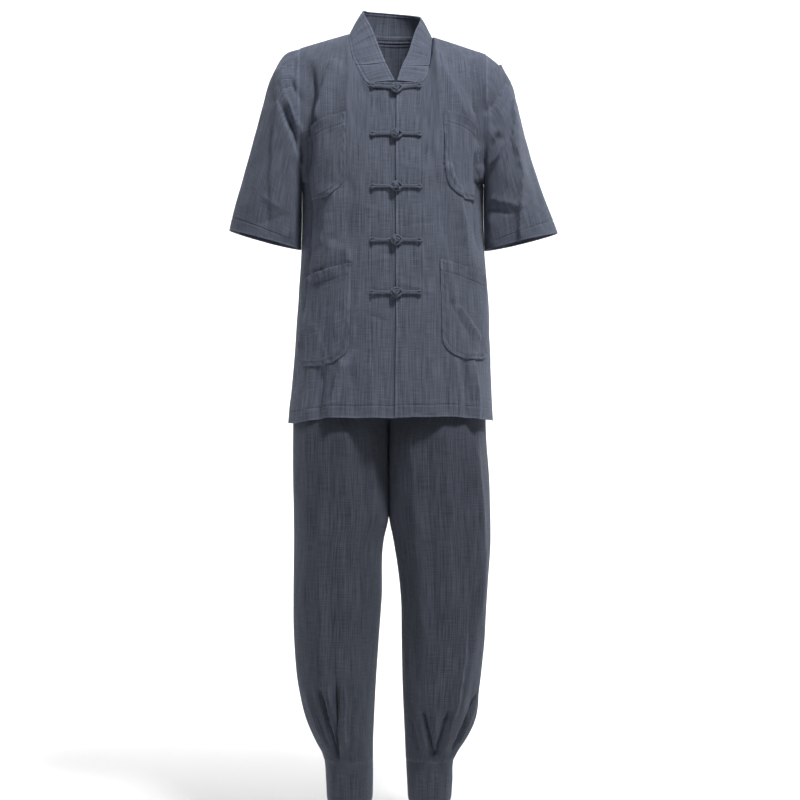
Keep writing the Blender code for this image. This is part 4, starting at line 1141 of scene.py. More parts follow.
@dataclass
class Stitching:
    """Rows of thread stitches gathered into one mesh."""

    pitch: float = 0.0030
    length: float = 0.0021
    half_width: float = 0.00028
    height: float = 0.00030
    sunk: float = 0.00008
    foot: float = 0.0002
    points: list[np.ndarray] = field(default_factory=list)
    faces: list[tuple[int, ...]] = field(default_factory=list)

    def run(self, sheet: Sheet, places: Sequence[tuple[float, float]]) -> None:
        """Sew one row along a line of grain places.

        Args:
            sheet: the cloth that carries it.
            places: corners of the line, as (across, along) in metres.
        """
        corners = np.array(places, float)
        steps = np.concatenate([[0.0], np.cumsum(np.hypot(*np.diff(corners, axis=0).T))])
        if steps[-1] < self.pitch:
            return
        starts = np.arange(self.pitch / 2, steps[-1] - self.length, self.pitch)
        ends = []
        for shift in (0.0, self.length / 2, self.length):
            at = starts + shift
            u = np.interp(at, steps, corners[:, 0])
            v = np.interp(at, steps, corners[:, 1])
            ends.append(sheet.at(u, v))
        (first, up0), (middle, up1), (last, up2) = ends
        way = last - first
        way /= np.maximum(np.linalg.norm(way, axis=1, keepdims=True), 1e-9)
        aside = np.cross(way, up1) * self.half_width
        base = sum(len(block) for block in self.points)
        left, right, raised = middle - aside, middle + aside, middle + up1 * self.height * 0.7
        round_top = [raised - aside * 0.6, raised + aside * 0.6]
        under = [left - up1 * self.foot, right - up1 * self.foot]
        stitch = [first - up0 * self.sunk, left, *round_top, right, *under, last - up2 * self.sunk]
        self.points.append(np.stack(stitch, 1).reshape(-1, 3))
        for number in range(len(starts)):
            n = base + number * len(stitch)
            loop = [n + 1, n + 2, n + 3, n + 4, n + 6, n + 5]
            for a, b in zip(loop, loop[1:] + loop[:1]):
                self.faces.append((n, a, b))
                self.faces.append((n + 7, b, a))

    def round(self, sheet: Sheet, along: float) -> None:
        """Sew one row across a whole sheet, at a place along its grain."""
        ends = sheet.grain_u[0] + 0.001, sheet.grain_u[-1] - 0.001
        self.run(sheet, [(end, along) for end in ends])

    def add(self, name: str, material: bpy.types.Material) -> bpy.types.Object:
        """Put all rows into the scene as one piece.

        Args:
            name: the piece's name.
            material: the thread's finish.

        Returns:
            The piece.
        """
        return add_mesh(name, np.concatenate(self.points), self.faces, material)


@dataclass(frozen=True)
class Cut:
    """Flat size of a piece before sewing, and how it is carried."""

    width: float
    length: float
    area: float
    held: Held
    rests_on: tuple[str, ...] = ()


def settle(piece: bpy.types.Object, slot: str, *nodes: str) -> None:
    """Attach a piece to the suit's body.

    Args:
        piece: the piece.
        slot: name of a material slot; not used.
        nodes: the frame's solids that it stands for.
    """
    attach(piece, "root")
    if nodes:
        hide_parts(*nodes)
    LOG.info("%s: %d faces", piece.name, len(piece.data.polygons))


def sew_up(
    name: str,
    sheet: Sheet,
    finish: tuple[bpy.types.Material, str],
    wall: float = CLOTH_WALL,
) -> None:
    """Add a piece of cloth and attach it.

    Args:
        name: the piece's name and the frame's solid that it stands for.
        sheet: its outer face.
        finish: its material and the slot of it.
        wall: thickness of the cloth.
    """
    piece = add_cloth(name, sheet, finish[0], wall)
    settle(piece, finish[1], name)


# ---- jacket ----


@dataclass
class JacketBlock:
    """Smooth worn form of the jacket, before folds."""

    squareness: float = 2.35
    half_girth: float = 0.243
    underarm_z: float = -0.285
    roundness: float = 2.15
    front_fall: float = 1.4
    back_fall: float = 1.8
    neck_share: float = 0.37
    tip_share: float = 0.19
    front_top: tuple[float, float] = (-0.0985, -0.1085)
    shoulder_y: float = 0.006
    sleeve_spread: float = 0.8
    front_neck_keys: tuple[float, ...] = (0.0, 0.5, 1.0, 1.5, 2.0, 3.0, 4.0)
    back_neck_keys: tuple[float, ...] = (4.0, 4.5, 5.0, 5.5, 6.0, 6.5, 7.0, 7.5, 8.0)
    last_key: float = 12.0
    end_keys: tuple[float, float] = (1.0, 11.0)
    end_level: float = 0.62

    def __post_init__(self) -> None:
        """Works out the angle round the body for each share of the half girth."""
        self.angles = np.linspace(0, math.pi / 2, 400)
        exponent = 2 / self.squareness
        x = 0.174 * np.sin(self.angles) ** exponent
        y = 0.127 * np.abs(np.cos(self.angles)) ** exponent
        lengths = np.concatenate([[0], np.cumsum(np.hypot(np.diff(x), np.diff(y)))])
        self.shares = lengths / lengths[-1]

    def body(self, side: Side, facing: Facing, share: np.ndarray, z: np.ndarray) -> np.ndarray:
        """Points below the underarm.

        Args:
            side: the wearer's side.
            facing: front or back.
            share: share of the half girth from the middle, below 0 past it.
            z: heights.

        Returns:
            The points.
        """
        share, z = np.broadcast_arrays(np.asarray(share, float), np.asarray(z, float))
        widths = by_height(BODY_SECTIONS, z)
        angle = np.sign(share) * np.interp(np.abs(share), self.shares, self.angles)
        exponent = 2 / self.squareness
        across = side.value * signed_power(np.sin(angle), exponent)
        width = np.where(across < 0, widths[..., 0], widths[..., 1])
        depth = widths[..., 2] if facing is Facing.FRONT else widths[..., 3]
        y = facing.value * depth * np.abs(np.cos(angle)) ** exponent
        return np.stack([across * width, y, z], -1)

    @staticmethod
    def collar(key: np.ndarray, share: np.ndarray) -> np.ndarray:
        """Points of the collar band.

        Args:
            key: place round the neck, 0 at the right tip and 12 at the left.
            share: 0 at the seam and 1 at the free edge.

        Returns:
            The points.
        """
        key, share = np.broadcast_arrays(np.asarray(key, float), np.asarray(share, float))
        table = np.column_stack([np.arange(len(COLLAR_SECTIONS)), COLLAR_SECTIONS])
        row = smooth_rows(table, key)
        seam, edge = row[..., :3], row[..., 3:]
        outward = (seam + edge) * np.array([1.0, 1.0, 0.0])
        outward /= np.maximum(np.linalg.norm(outward, axis=-1, keepdims=True), TINY)
        bow = 0.0020 * np.sin(math.pi * share)[..., None]
        return seam + (edge - seam) * share[..., None] + outward * bow

    def levelled(self, key: np.ndarray, share: np.ndarray) -> np.ndarray:
        """Keys moved round near the collar's end seams, so that these run level."""
        near = [np.clip(1 - np.abs(key - end), 0, 1) for end in self.end_keys]
        return key + self.end_level * (1 - share) * (near[0] - near[1])

    def top(self, side: Side, facing: Facing, share: np.ndarray) -> np.ndarray:
        """Upper ends of columns, on the neckline or the shoulder seam.

        Args:
            side: the wearer's side.
            facing: front or back.
            share: share of the half girth of each column.

        Returns:
            The points.
        """
        share = np.asarray(share, float)
        right = side is Side.RIGHT
        neck = self.collar(4.0 if right else 8.0, 0.0)
        table = SLEEVE_SECTIONS[side]
        shoulder = np.array([side.value * table[0, 1], self.shoulder_y, table[0, 2]])
        along = np.clip((share - self.neck_share) / (1 - self.neck_share), 0, 1)[:, None]
        points = neck + (shoulder - neck) * along
        if facing is Facing.BACK:
            keys = np.linspace(-self.neck_share, self.neck_share, len(self.back_neck_keys))
            key = np.interp(side.value * share, keys, self.back_neck_keys)
            return np.where((share < self.neck_share)[:, None], self.collar(key, 0.0), points)
        keys = np.linspace(self.tip_share, self.neck_share, len(self.front_neck_keys))
        key = np.interp(share, keys, self.front_neck_keys)
        key = key if right else self.last_key - key
        points = np.where((share < self.neck_share)[:, None], self.collar(key, 0.0), points)
        tip = self.collar(0.0 if right else self.last_key, 0.0)
        middle = np.array([0.0, *self.front_top])
        flat = middle + (tip - middle) * (share / self.tip_share)[:, None]
        points = np.where((share < self.tip_share)[:, None], flat, points)
        under = share < 0
        if under.any():
            other = Side.LEFT if right else Side.RIGHT
            points[under] = self.top(other, facing, -share[under])
        return points

    @staticmethod
    def armhole_x(points: np.ndarray) -> np.ndarray:
        """Distance of the armhole line from the middle at the heights of points.

        Args:
            points: (..., 3) places; the sign of x picks the side.

        Returns:
            One distance for each point.
        """
        right, left = (SLEEVE_SECTIONS[side][0] for side in Side)
        share = [(points[..., 2] - row[4]) / (row[2] - row[4]) for row in (right, left)]
        lines = [row[3] + (row[1] - row[3]) * np.clip(at, 0, 1) for row, at in zip((right, left), share)]
        return np.where(points[..., 0] < 0, lines[0], lines[1])

    def armhole(self, side: Side, facing: Facing, rise: np.ndarray) -> np.ndarray:
        """Edge points of the armhole at shares of the way up."""
        turn = math.pi * (1 - np.asarray(rise, float) ** self.sleeve_spread)
        return self.sleeve(side, facing, np.zeros_like(turn), turn)

    def sleeve(self, side: Side, facing: Facing, length: np.ndarray, turn: np.ndarray) -> np.ndarray:
        """Points of a sleeve.

        Args:
            side: the wearer's side.
            facing: front or back half.
            length: share of the way down.
            turn: 0 on the outside, pi underneath.

        Returns:
            The points.
        """
        row = smooth_rows(SLEEVE_SECTIONS[side], length)
        zero = np.zeros_like(row[..., 0])
        outer = np.stack([side.value * row[..., 0], zero + self.shoulder_y, row[..., 1]], -1)
        inner = np.stack([side.value * row[..., 2], zero, row[..., 3]], -1)
        middle, half = (outer + inner) / 2, (outer - inner) / 2
        depth = facing.value * row[..., 4] * np.sin(turn)
        return middle + half * np.cos(turn)[..., None] + np.stack([zero, depth, zero], -1)

    def yoke(self, side: Side, facing: Facing, share: np.ndarray, rise: np.ndarray) -> np.ndarray:
        """Points above the underarm.

        Args:
            side: the wearer's side.
            facing: front or back.
            share: share of the half girth of each column.
            rise: share of the way up, by row and column.

        Returns:
            The points by row and column.
        """
        fall = self.front_fall if facing is Facing.FRONT else self.back_fall
        angle = rise * math.pi / 2
        lift = np.sin(angle) ** (2 / self.roundness)
        rounded = np.clip(np.cos(angle), 0, 1) ** (2 / self.roundness)
        sloped = 1 - lift**fall

        def column(at: np.ndarray) -> np.ndarray:
            """Points of the columns before the armhole is set in.

            Args:
                at: each column's share of the half girth.

            Returns:
                Points by row and column.
            """
            foot = self.body(side, facing, at, self.underarm_z)
            head = self.top(side, facing, at)
            over = soft_step((np.abs(at) - self.tip_share) / (self.neck_share - self.tip_share))
            level = (sloped + (rounded - sloped) * over)[..., None]
            points = head + (foot - head) * level
            points[..., 2] = foot[:, 2] + (head[:, 2] - foot[:, 2]) * lift
            return points

        weight = np.clip((share - self.neck_share) / (1 - self.neck_share), 0, 1) ** 2.4
        side_column = column(np.ones_like(share))
        shift = self.armhole(side, facing, rise) - side_column
        return column(share) + weight[None, :, None] * shift

    def rise_at(self, side: Side, facing: Facing, share: np.ndarray, z: np.ndarray) -> np.ndarray:
        """Share of the way up the yoke at heights of columns.

        Args:
            side: the wearer's side.
            facing: front or back.
            share: each column's share of the half girth.
            z: heights, by row and column.

        Returns:
            Shares from 0 at the underarm to 1 at the top.
        """
        head = self.top(side, facing, share)[:, 2]
        lift = np.clip((z - self.underarm_z) / (head - self.underarm_z), 0, 1)
        return np.arcsin(lift ** (self.roundness / 2)) / (math.pi / 2)

    def front_at(self, side: Side, share: np.ndarray, z: np.ndarray) -> np.ndarray:
        """Front points at heights of columns.

        Args:
            side: the wearer's side.
            share: each column's share of the half girth.
            z: heights, by row and column.

        Returns:
            Points by row and column.
        """
        below = self.body(side, Facing.FRONT, share, z)
        above = self.yoke(side, Facing.FRONT, share, self.rise_at(side, Facing.FRONT, share, z))
        return np.where((z <= self.underarm_z)[..., None], below, above)


@dataclass
class Jacket:
    """The jacket: two fronts, a back, two sleeves, the collar and four pockets."""

    finishes: Finishes
    block: JacketBlock = field(default_factory=JacketBlock)
    lap_depth: float = 0.0035
    back_step: float = 0.0044
    back_offset: float = 3.0
    seam_reach: float = 0.012
    underlap: float = 0.030
    edge_x: float = 0.0062
    edge_hem_share: float = 0.66
    slit_foot_z: float = -0.735
    hem_turn: float = 0.022
    middle_x: float = 0.006
    edge_row: float = 0.004
    seam_rows: tuple[float, float] = (0.0045, 0.0105)
    slit_row: float = 0.008
    slit_sewn: tuple[float, float] = (0.085, 0.088)
    thread_end: float = 0.003
    yoke_rows: int = 84
    pocket_stand: float = 0.0024
    mouth_gape: float = 0.0046
    pocket_rows: tuple[float, float] = (0.0024, 0.0074)
    mouth_hem: float = 0.020
    collar_trim: float = 0.017
    collar_width: float = 0.052
    sleeve_hem: float = 0.925
    sleeve_length: float = 0.31
    way_depths: tuple[float, float] = (0.18, 0.13)
    facing_width: float = 0.046
    slit_top_z: float = -0.650
    slit_half_width: float = 0.0030
    pockets: tuple[tuple, ...] = (
        # name, side, inner share, outer share, mouth inside, mouth outside, foot,
        # inner corner share, inner corner height
        ("pocket_chest_right", Side.RIGHT, 0.357, 0.790, -0.1640, -0.1900, -0.3225, 0.55, 0.0520),
        ("pocket_chest_left", Side.LEFT, 0.400, 0.815, -0.1615, -0.1800, -0.3235, 0.45, 0.0600),
        ("pocket_lower_right", Side.RIGHT, 0.312, 0.780, -0.4440, -0.4710, -0.6340, 0.55, 0.0400),
        ("pocket_lower_left", Side.LEFT, 0.355, 0.790, -0.4375, -0.4660, -0.6205, 0.50, 0.0420),
    )
    cuts: dict[str, Cut] = field(
        default_factory=lambda: {
            "jacket_back": Cut(0.56, 0.80, 0.400, Held.HUNG),
            "jacket_front_right": Cut(0.31, 0.80, 0.215, Held.HUNG, ("jacket_back",)),
            "jacket_front_left": Cut(0.28, 0.80, 0.195, Held.HUNG, ("jacket_back",)),
            "sleeve_right": Cut(0.52, 0.33, 0.130, Held.HUNG, ("jacket_back",)),
            "sleeve_left": Cut(0.52, 0.33, 0.130, Held.HUNG, ("jacket_back",)),
            "collar_band": Cut(0.42, 0.055, 0.021, Held.HUNG, ("jacket_back",)),
            "collar_end_right": Cut(0.060, 0.050, 0.0026, Held.HUNG, ("jacket_front_right",)),
            "collar_end_left": Cut(0.060, 0.050, 0.0024, Held.HUNG, ("jacket_front_left",)),
        }
    )

    def __post_init__(self) -> None:
        """Sets the drapes and starts the thread."""
        self.body_drape = Drape(JACKET_FRONT_FOLDS, JACKET_BACK_FOLDS, 11)
        self.sleeve_drape = Drape(SLEEVE_FRONT_FOLDS, SLEEVE_BACK_FOLDS, 23, 0.020)
        self.thread = Stitching()
        self.finish = (self.finishes.jacket, "jacket_cloth")
        self.fronts: dict[Side, Sheet] = {}

    def folded(self, points: np.ndarray, u: np.ndarray, calm: np.ndarray | float) -> np.ndarray:
        """Lay the jacket's folds over block points.

        Args:
            points: block points.
            u: place across the grain of each.
            calm: 1 where ripples may show.

        Returns:
            The folded points.
        """
        block = self.block
        above = points[..., 2] > block.underarm_z
        inward = block.armhole_x(points) - np.abs(points[..., 0])
        lift = 8.0 * soft_step((points[..., 2] - block.underarm_z) / 0.25)
        wide, deep = self.way_depths
        way = np.stack([points[..., 0] / wide**2, points[..., 1] / deep**2, lift], -1)
        way /= np.maximum(np.linalg.norm(way, axis=-1, keepdims=True), TINY)
        edge = np.where(above, soft_step(inward / self.seam_reach), 1.0)
        top = soft_step((-0.022 - points[..., 2]) / 0.03)
        height = self.body_drape.lift(points, u, calm) * edge * top
        return points + way * height[..., None] + self.crossing(points, 1 - edge)

    def crossing(self, points: np.ndarray, share: np.ndarray) -> np.ndarray:
        """Folds that run on over the armhole seam, the same on both of its sides.

        Args:
            points: block points of a body panel or of a sleeve.
            share: how much of these folds each point takes.

        Returns:
            The way that each point moves.
        """
        z = points[..., 2]
        folds_here = self.body_drape.relief(points, 0.030) + self.sleeve_drape.relief(points, 0.030)
        ends = soft_step((-0.050 - z) / 0.03) * soft_step((z - self.block.underarm_z) / 0.04)
        out = np.sign(points[..., 1]) * 0.6 * folds_here * ends * share
        return out[..., None] * np.array([0.0, 1.0, 0.0])

    def slit(self, share: np.ndarray, z: np.ndarray) -> np.ndarray:
        """Shares kept clear of the side seam, with the slit opening below.

        Args:
            share: shares of the half girth.
            z: heights.

        Returns:
            The shares, none past the seam or the slit's edge.
        """
        reach = self.slit_top_z - self.slit_foot_z
        opening = self.slit_half_width * soft_step((self.slit_top_z - z) / reach)
        return np.minimum(share, 1 - (SEAM_GAP / 2 + opening) / self.block.half_girth)

    def rows(self, side: Side, facing: Facing, shares: np.ndarray, hem: np.ndarray) -> np.ndarray:
        """Block points of a panel from its hem to its top.

        Args:
            side: the wearer's side.
            facing: front or back.
            shares: its columns.
            hem: hem height of each column.

        Returns:
            The points by row and column.
        """
        block = self.block
        span = block.underarm_z - hem.min()
        even = np.linspace(0, 1, round(span / GRID_STEP) + 1)
        shares_up = dense(even, [self.hem_turn / span], 0.010, 0.0024)
        z = hem + (block.underarm_z - hem) * shares_up[:-1, None]
        across = self.slit(np.broadcast_to(shares, z.shape), z)
        if facing is Facing.FRONT and side is Side.LEFT:
            upward = soft_step((z - self.slit_foot_z) / 0.25)
            swing = self.edge_hem_share + (1 - self.edge_hem_share) * upward
            edge = shares[0] * (1 - swing) * np.exp(-(shares - shares[0]) / 0.03)
            across = across - edge
        lower = block.body(side, facing, across, z)
        rise = np.linspace(0, 1, self.yoke_rows)[:, None]
        rise = np.broadcast_to(rise, (self.yoke_rows, len(shares)))
        return np.concatenate([lower, block.yoke(side, facing, shares, rise)])

    def seam_calm(self, shares: np.ndarray, rows: int) -> np.ndarray:
        """Where ripples may show: not at the side seam, armhole or top.

        Args:
            shares: the panel's columns.
            rows: its number of rows.

        Returns:
            A factor by row and column.
        """
        side = soft_step((1 - np.abs(shares)) * self.block.half_girth / 0.02)
        top = soft_step(np.arange(rows)[::-1] / 6.0)
        return top[:, None] * side[None]

    def make_front(self, side: Side) -> None:
        """One front panel, with its seam dips and stitch rows.

        Args:
            side: the wearer's side.
        """
        block = self.block
        right = side is Side.RIGHT
        start = -self.underlap if right else self.edge_x
        columns = round((block.half_girth * 1.08 - start) / GRID_STEP)
        shares = np.linspace(start / block.half_girth, 1.0, columns + 1)
        lines = [(self.facing_width + side.value * self.middle_x) / block.half_girth]
        lines += [] if right else [(self.edge_x + self.edge_row) / block.half_girth]
        shares = dense(shares, lines, 0.020, 0.0046)
        hem = np.interp(shares, FRONT_HEM[:, 0], FRONT_HEM[:, 1 if right else 2])
        hem = hem + 0.0007 * soft_noise(shares * block.half_girth, hem * 0, (0.03, 1.0), 5 + side.value)
        grid = self.rows(side, Facing.FRONT, shares, hem)
        u = np.broadcast_to(side.value * shares * block.half_girth, grid.shape[:2])
        grid = self.folded(grid, u, self.seam_calm(shares, len(grid)))
        grid = self.pressed(self.dressed_front(grid, side), Facing.FRONT)
        grid[-1, :, 1] -= SEAM_GAP / 2
        order = slice(None, None, -1) if right else slice(None)
        sheet = Sheet(grid[:, order], np.sort(side.value * shares * block.half_girth), grain_along(grid))
        self.fronts[side] = sheet
        name = f"jacket_front_{side.word}"
        sew_up(name, sheet, self.finish)
        self.sew_front(side, sheet)

    def dressed_front(self, grid: np.ndarray, side: Side) -> np.ndarray:
        """Sink a front's lap and press its stitch rows.

        Args:
            grid: folded points.
            side: the wearer's side.

        Returns:
            The points.
        """
        x, z = grid[..., 0], grid[..., 2]
        if side is Side.RIGHT:
            grid[..., 1] += self.lap_depth * soft_step((x + 0.016) / 0.012)
        low = soft_step((-0.175 - z) / 0.02)
        press = groove(np.abs(x - self.middle_x) - self.facing_width) * low
        if side is Side.LEFT:
            below_collar = soft_step((-0.118 - z) / 0.01)
            press = press + groove(x - grid[:, :1, 0] - self.edge_row) * below_collar
        grid[..., 1] -= press
        return grid

    def pressed(self, grid: np.ndarray, facing: Facing) -> np.ndarray:
        """Press the hem row and the row below the neck and shoulder seams of a panel.

        Args:
            grid: the panel's points.
            facing: front or back.

        Returns:
            The points.
        """
        steps = np.linalg.norm(np.diff(grid, axis=0), axis=2)
        zero = np.zeros((1, grid.shape[1]))
        up = np.concatenate([zero, np.cumsum(steps, axis=0)])
        down = up[-1:] - up
        first, second = (groove(down - row) for row in self.seam_rows)
        press = groove(up - self.hem_turn) + first + 0.8 * second
        way = np.stack([0 * press, facing.value + 0 * press, soft_step((grid[..., 2] + 0.12) / 0.06)], -1)
        return grid + way * press[..., None]

    def sew_front(self, side: Side, sheet: Sheet) -> None:
        """Sew the facing, hem, slit and opening rows of a front.

        Args:
            side: the wearer's side.
            sheet: the front.
        """
        u0, u1, v1 = sheet.grain_u[0], sheet.grain_u[-1], sheet.grain_v[-1]
        facing = side.value * self.facing_width + self.middle_x
        outer = u0 if side is Side.RIGHT else u1
        self.sew_hem(sheet)
        self.thread.run(sheet, [(facing, self.thread_end), (facing, v1 * 0.73)])
        self.sew_slit(sheet, outer, -side.value)
        if side is Side.LEFT:
            edge = u0 + self.thread_end
            self.thread.run(sheet, [(edge, self.thread_end), (edge, v1 * 0.83)])
        armhole = outer - side.value * self.seam_rows[0]
        self.thread.run(sheet, [(armhole, 0.462), (armhole, v1 - 0.006)])

    def sew_hem(self, sheet: Sheet) -> None:
        """Sew the hem row of a panel."""
        ends = sheet.grain_u[0] + 0.004, sheet.grain_u[-1] - 0.004
        self.thread.run(sheet, [(end, self.hem_turn) for end in ends])

    def sew_slit(self, sheet: Sheet, seam: float, inward: int) -> None:
        """Sew the row beside a side slit.

        Args:
            sheet: the panel.
            seam: place of its side seam across the grain.
            inward: sign of the way from there into the panel.
        """
        line = seam + inward * self.slit_row
        row_top, seam_top = self.slit_sewn
        self.thread.run(sheet, [(line, self.thread_end), (line, row_top), (seam, seam_top)])

    def make_back(self) -> None:
        """The back panel in one piece."""
        block = self.block
        half = np.linspace(0, 1, round(block.half_girth * 1.08 / self.back_step) + 1)
        grids = []
        for side in Side:
            hem = -0.7360 + 0.0050 * half**2
            waves = soft_noise(side.value * half * block.half_girth, hem * 0, (0.04, 1.0), 8)
            hem = hem + 0.0008 * waves
            grids.append(self.rows(side, Facing.BACK, half, hem))
        grid = np.concatenate([grids[0][:, :0:-1], grids[1]], axis=1)
        shares = np.concatenate([-half[:0:-1], half])
        u = shares * block.half_girth
        grain = np.broadcast_to(u + self.back_offset, grid.shape[:2])
        grid = self.folded(grid, grain, self.seam_calm(shares, len(grid)))
        grid = self.pressed(grid, Facing.BACK)
        grid[-1, :, 1] += SEAM_GAP / 2
        sheet = Sheet(grid[:, ::-1], u, grain_along(grid))
        sew_up("jacket_back", sheet, self.finish)
        self.sew_hem(sheet)
        for seam, inward in ((u[0], 1), (u[-1], -1)):
            self.sew_slit(sheet, seam, inward)

    def make_sleeve(self, side: Side) -> None:
        """One sleeve, from its armhole to its turned hem.

        Args:
            side: the wearer's side.
        """
        block = self.block
        turns = math.pi * (1 - np.linspace(0, 1, 66) ** block.sleeve_spread)
        length = dense(np.linspace(0, 1, 112), [self.sleeve_hem], 0.026, 0.0036)
        turn_grid = np.broadcast_to(turns, (len(length), len(turns)))
        length_grid = np.broadcast_to(length[:, None], turn_grid.shape)
        front = block.sleeve(side, Facing.FRONT, length_grid, turn_grid)
        back = block.sleeve(side, Facing.BACK, length_grid, turn_grid)[:, -2:0:-1]
        grid = np.concatenate([front, back], axis=1)
        grid[0, :, 0] += side.value * SEAM_GAP
        middle = (front[:, :1] + front[:, -1:]) / 2
        way = grid - middle
        way /= np.linalg.norm(way, axis=2, keepdims=True)
        spans = np.linalg.norm(np.diff(np.concatenate([grid, grid[:, :1]], 1), axis=1), axis=2)
        u = np.concatenate([[0.0], np.cumsum(spans.mean(axis=0))])
        calm = soft_step(length / 0.12)[:, None]
        height = self.sleeve_drape.lift(grid, np.broadcast_to(u[:-1], grid.shape[:2]), calm)
        inside = soft_step((np.abs(grid[..., 0]) - 0.1785) / 0.008)
        seam_dip = 0.0010 * bump(length, 0.010)[:, None]
        height = height * soft_step(length / 0.045)[:, None] * inside - seam_dip
        outward = np.abs(grid[..., 0]) - block.armhole_x(grid)
        seam = self.crossing(grid, 1 - soft_step(outward / self.seam_reach))
        hem_row = groove((length - self.sleeve_hem) * self.sleeve_length)[:, None]
        grid = grid + seam + way * (height + hem_row)[..., None]
        grid = self.snug(grid, side)
        order = slice(None) if side is Side.RIGHT else slice(None, None, -1)
        sheet = Sheet(grid[:, order], u, grain_along(grid), closed=True)
        name = f"sleeve_{side.word}"
        sew_up(name, sheet, self.finish)
        self.thread.round(sheet, sheet.grain_v[-1] - self.hem_turn)

    def snug(self, grid: np.ndarray, side: Side) -> np.ndarray:
        """Hang a sleeve's inner side against the body, just clear of it.

        Args:
            grid: the sleeve's points.
            side: the wearer's side.

        Returns:
            The points.
        """
        across = np.abs(grid[..., 0])
        nearest = across.argmin(axis=1)
        inner = across.min(axis=1)
        z = grid[np.arange(len(grid)), nearest, 2]
        body = by_height(BODY_SECTIONS, z)[:, 0 if side is Side.RIGHT else 1]
        gap = np.clip(inner - body - SEAM_GAP, 0, 0.012)
        gap = gap * soft_step((self.block.underarm_z + 0.001 - z) / 0.010)
        weight = bump(across - inner[:, None], 0.030)
        grid[..., 0] -= side.value * gap[:, None] * weight
        return grid

    def make_collar(self) -> None:
        """The collar band and its two end pieces, with doubled stitch rows."""
        for name, first, last in (
            ("collar_end_right", 0.02, 0.99),
            ("collar_band", 1.0, 11.0),
            ("collar_end_left", 11.01, 11.97),
        ):
            keys = np.linspace(first, last, max(12, round((last - first) * 16)) + 1)
            shares = np.linspace(self.collar_trim, 1, 41)
            key_grid = np.broadcast_to(keys, (len(shares), len(keys)))
            share_grid = np.broadcast_to(shares[:, None], key_grid.shape)
            grid = self.block.collar(self.block.levelled(key_grid, share_grid), share_grid)
            spans = np.linalg.norm(np.diff(grid, axis=1), axis=2).mean(axis=0)
            u = np.concatenate([[0.0], np.cumsum(spans)])
            normals = grid_normals(grid[:, ::-1], False)[:, ::-1]
            pucker = 0.00028 * np.sin(u / 0.0026) * bump(shares - 0.09, 0.05)[:, None]
            reach = shares * self.collar_width
            edge = -0.0012 * bump(1 - shares, 0.035)[:, None]
            edge = edge + (groove(reach - 0.0050) + groove(self.collar_width - reach - 0.0055))[:, None]
            noise = 0.0007 * soft_noise(u[None] + 0 * share_grid, share_grid * 0.05, (0.03, 0.03), 41)
            calm = np.sin(math.pi * shares)[:, None]
            step = np.zeros_like(share_grid)
            if name != "collar_band":
                inner_end = keys[-1] if name == "collar_end_right" else keys[0]
                step = -0.0009 * bump(key_grid - inner_end, 0.06)
            grid = grid + normals * (pucker + edge + noise * calm + step)[..., None]
            sheet = Sheet(grid[:, ::-1], u, grain_along(grid))
            sew_up(name, sheet, self.finish, wall=DOUBLE_WALL)
            for row in (0.0022, 0.0052, sheet.grain_v[-1] - 0.0030):
                self.thread.round(sheet, row)

    def pocket_span(self, row: tuple, q: np.ndarray) -> tuple[np.ndarray, np.ndarray]:
        """Foot and mouth heights of a pocket across its width.

        Args:
            row: the pocket's row.
            q: share of its width from the inner edge.

        Returns:
            The foot and the mouth heights.
        """
        mouth_in, mouth_out, foot, corner, corner_height = row[4:]
        bend_in = np.clip(1 - q / corner, 0, 1)
        bend_out = np.clip(1 - (1 - q) / 0.2, 0, 1)
        low = foot + corner_height * (1 - np.sqrt(1 - bend_in**2))
        low = low + 0.018 * (1 - np.sqrt(1 - bend_out**2))
        return low, mouth_in + (mouth_out - mouth_in) * q

    @staticmethod
    def pocket_edge(row: tuple, q: np.ndarray, z: np.ndarray, low: np.ndarray, width: float) -> np.ndarray:
        """Distance of a pocket's points from its sewn edge.

        Args:
            row: the pocket's row.
            q: share of its width from the inner edge.
            z: heights, by row and column.
            low: foot height of each column.
            width: the pocket's width.

        Returns:
            The distances.
        """
        foot, corner, corner_height = row[6:]
        up = np.clip(1 - (z - foot) / corner_height, 0, 1)
        aside = (q - corner * (1 - np.sqrt(1 - up**2))) * width
        above = z - low
        rounded = aside * above / np.maximum(np.hypot(aside, above), TINY)
        return np.clip(np.minimum(rounded, (1 - q) * width), 0, None)

    def make_pocket(self, row: tuple) -> None:
        """One patch pocket, laid over its front.

        Args:
            row: name, side and outline of the pocket.
        """
        name, side, inner, outer = row[:4]
        q = (1 - np.cos(math.pi * np.linspace(0, 1, 87))) / 2
        r = np.linspace(0, 1, 87)[:, None]
        low, high = self.pocket_span(row, q)
        z = low + (high - low) * r
        shares = inner + (outer - inner) * q
        grid = self.block.front_at(side, shares, z)
        u = np.broadcast_to(side.value * shares * self.block.half_girth, z.shape)
        grid = self.folded(grid, u, 1.0)
        normals = grid_normals(grid[:, ::-1] if side is Side.RIGHT else grid, False)
        normals = normals[:, ::-1] if side is Side.RIGHT else normals
        width = (outer - inner) * self.block.half_girth
        near = self.pocket_edge(row, q, z, low, width)
        body = 1 - bump(near, 0.0035)
        seed = 60 + len(name) + side.value
        own = soft_noise(u, z, (0.035, 0.05), seed) * 0.0012
        own = own + soft_noise(u, z, (0.012, 0.02), seed) * 0.0006
        pucker = 0.0005 * np.sin((u + z) / 0.0035) * bump(near - 0.004, 0.004)
        below_mouth = high - z
        gape = (0.35 + 0.65 * np.sin(math.pi * q)[None]) * np.exp(-(below_mouth / 0.016))
        height = self.pocket_stand + (0.0014 + np.maximum(own, -0.0004)) * body
        height = height + pucker + self.mouth_gape * gape
        height = height + groove(near - 0.0058) * (below_mouth > 0.003) + groove(below_mouth - 0.021)
        grid = grid + normals * height[..., None]
        order = slice(None, None, -1) if side is Side.RIGHT else slice(None)
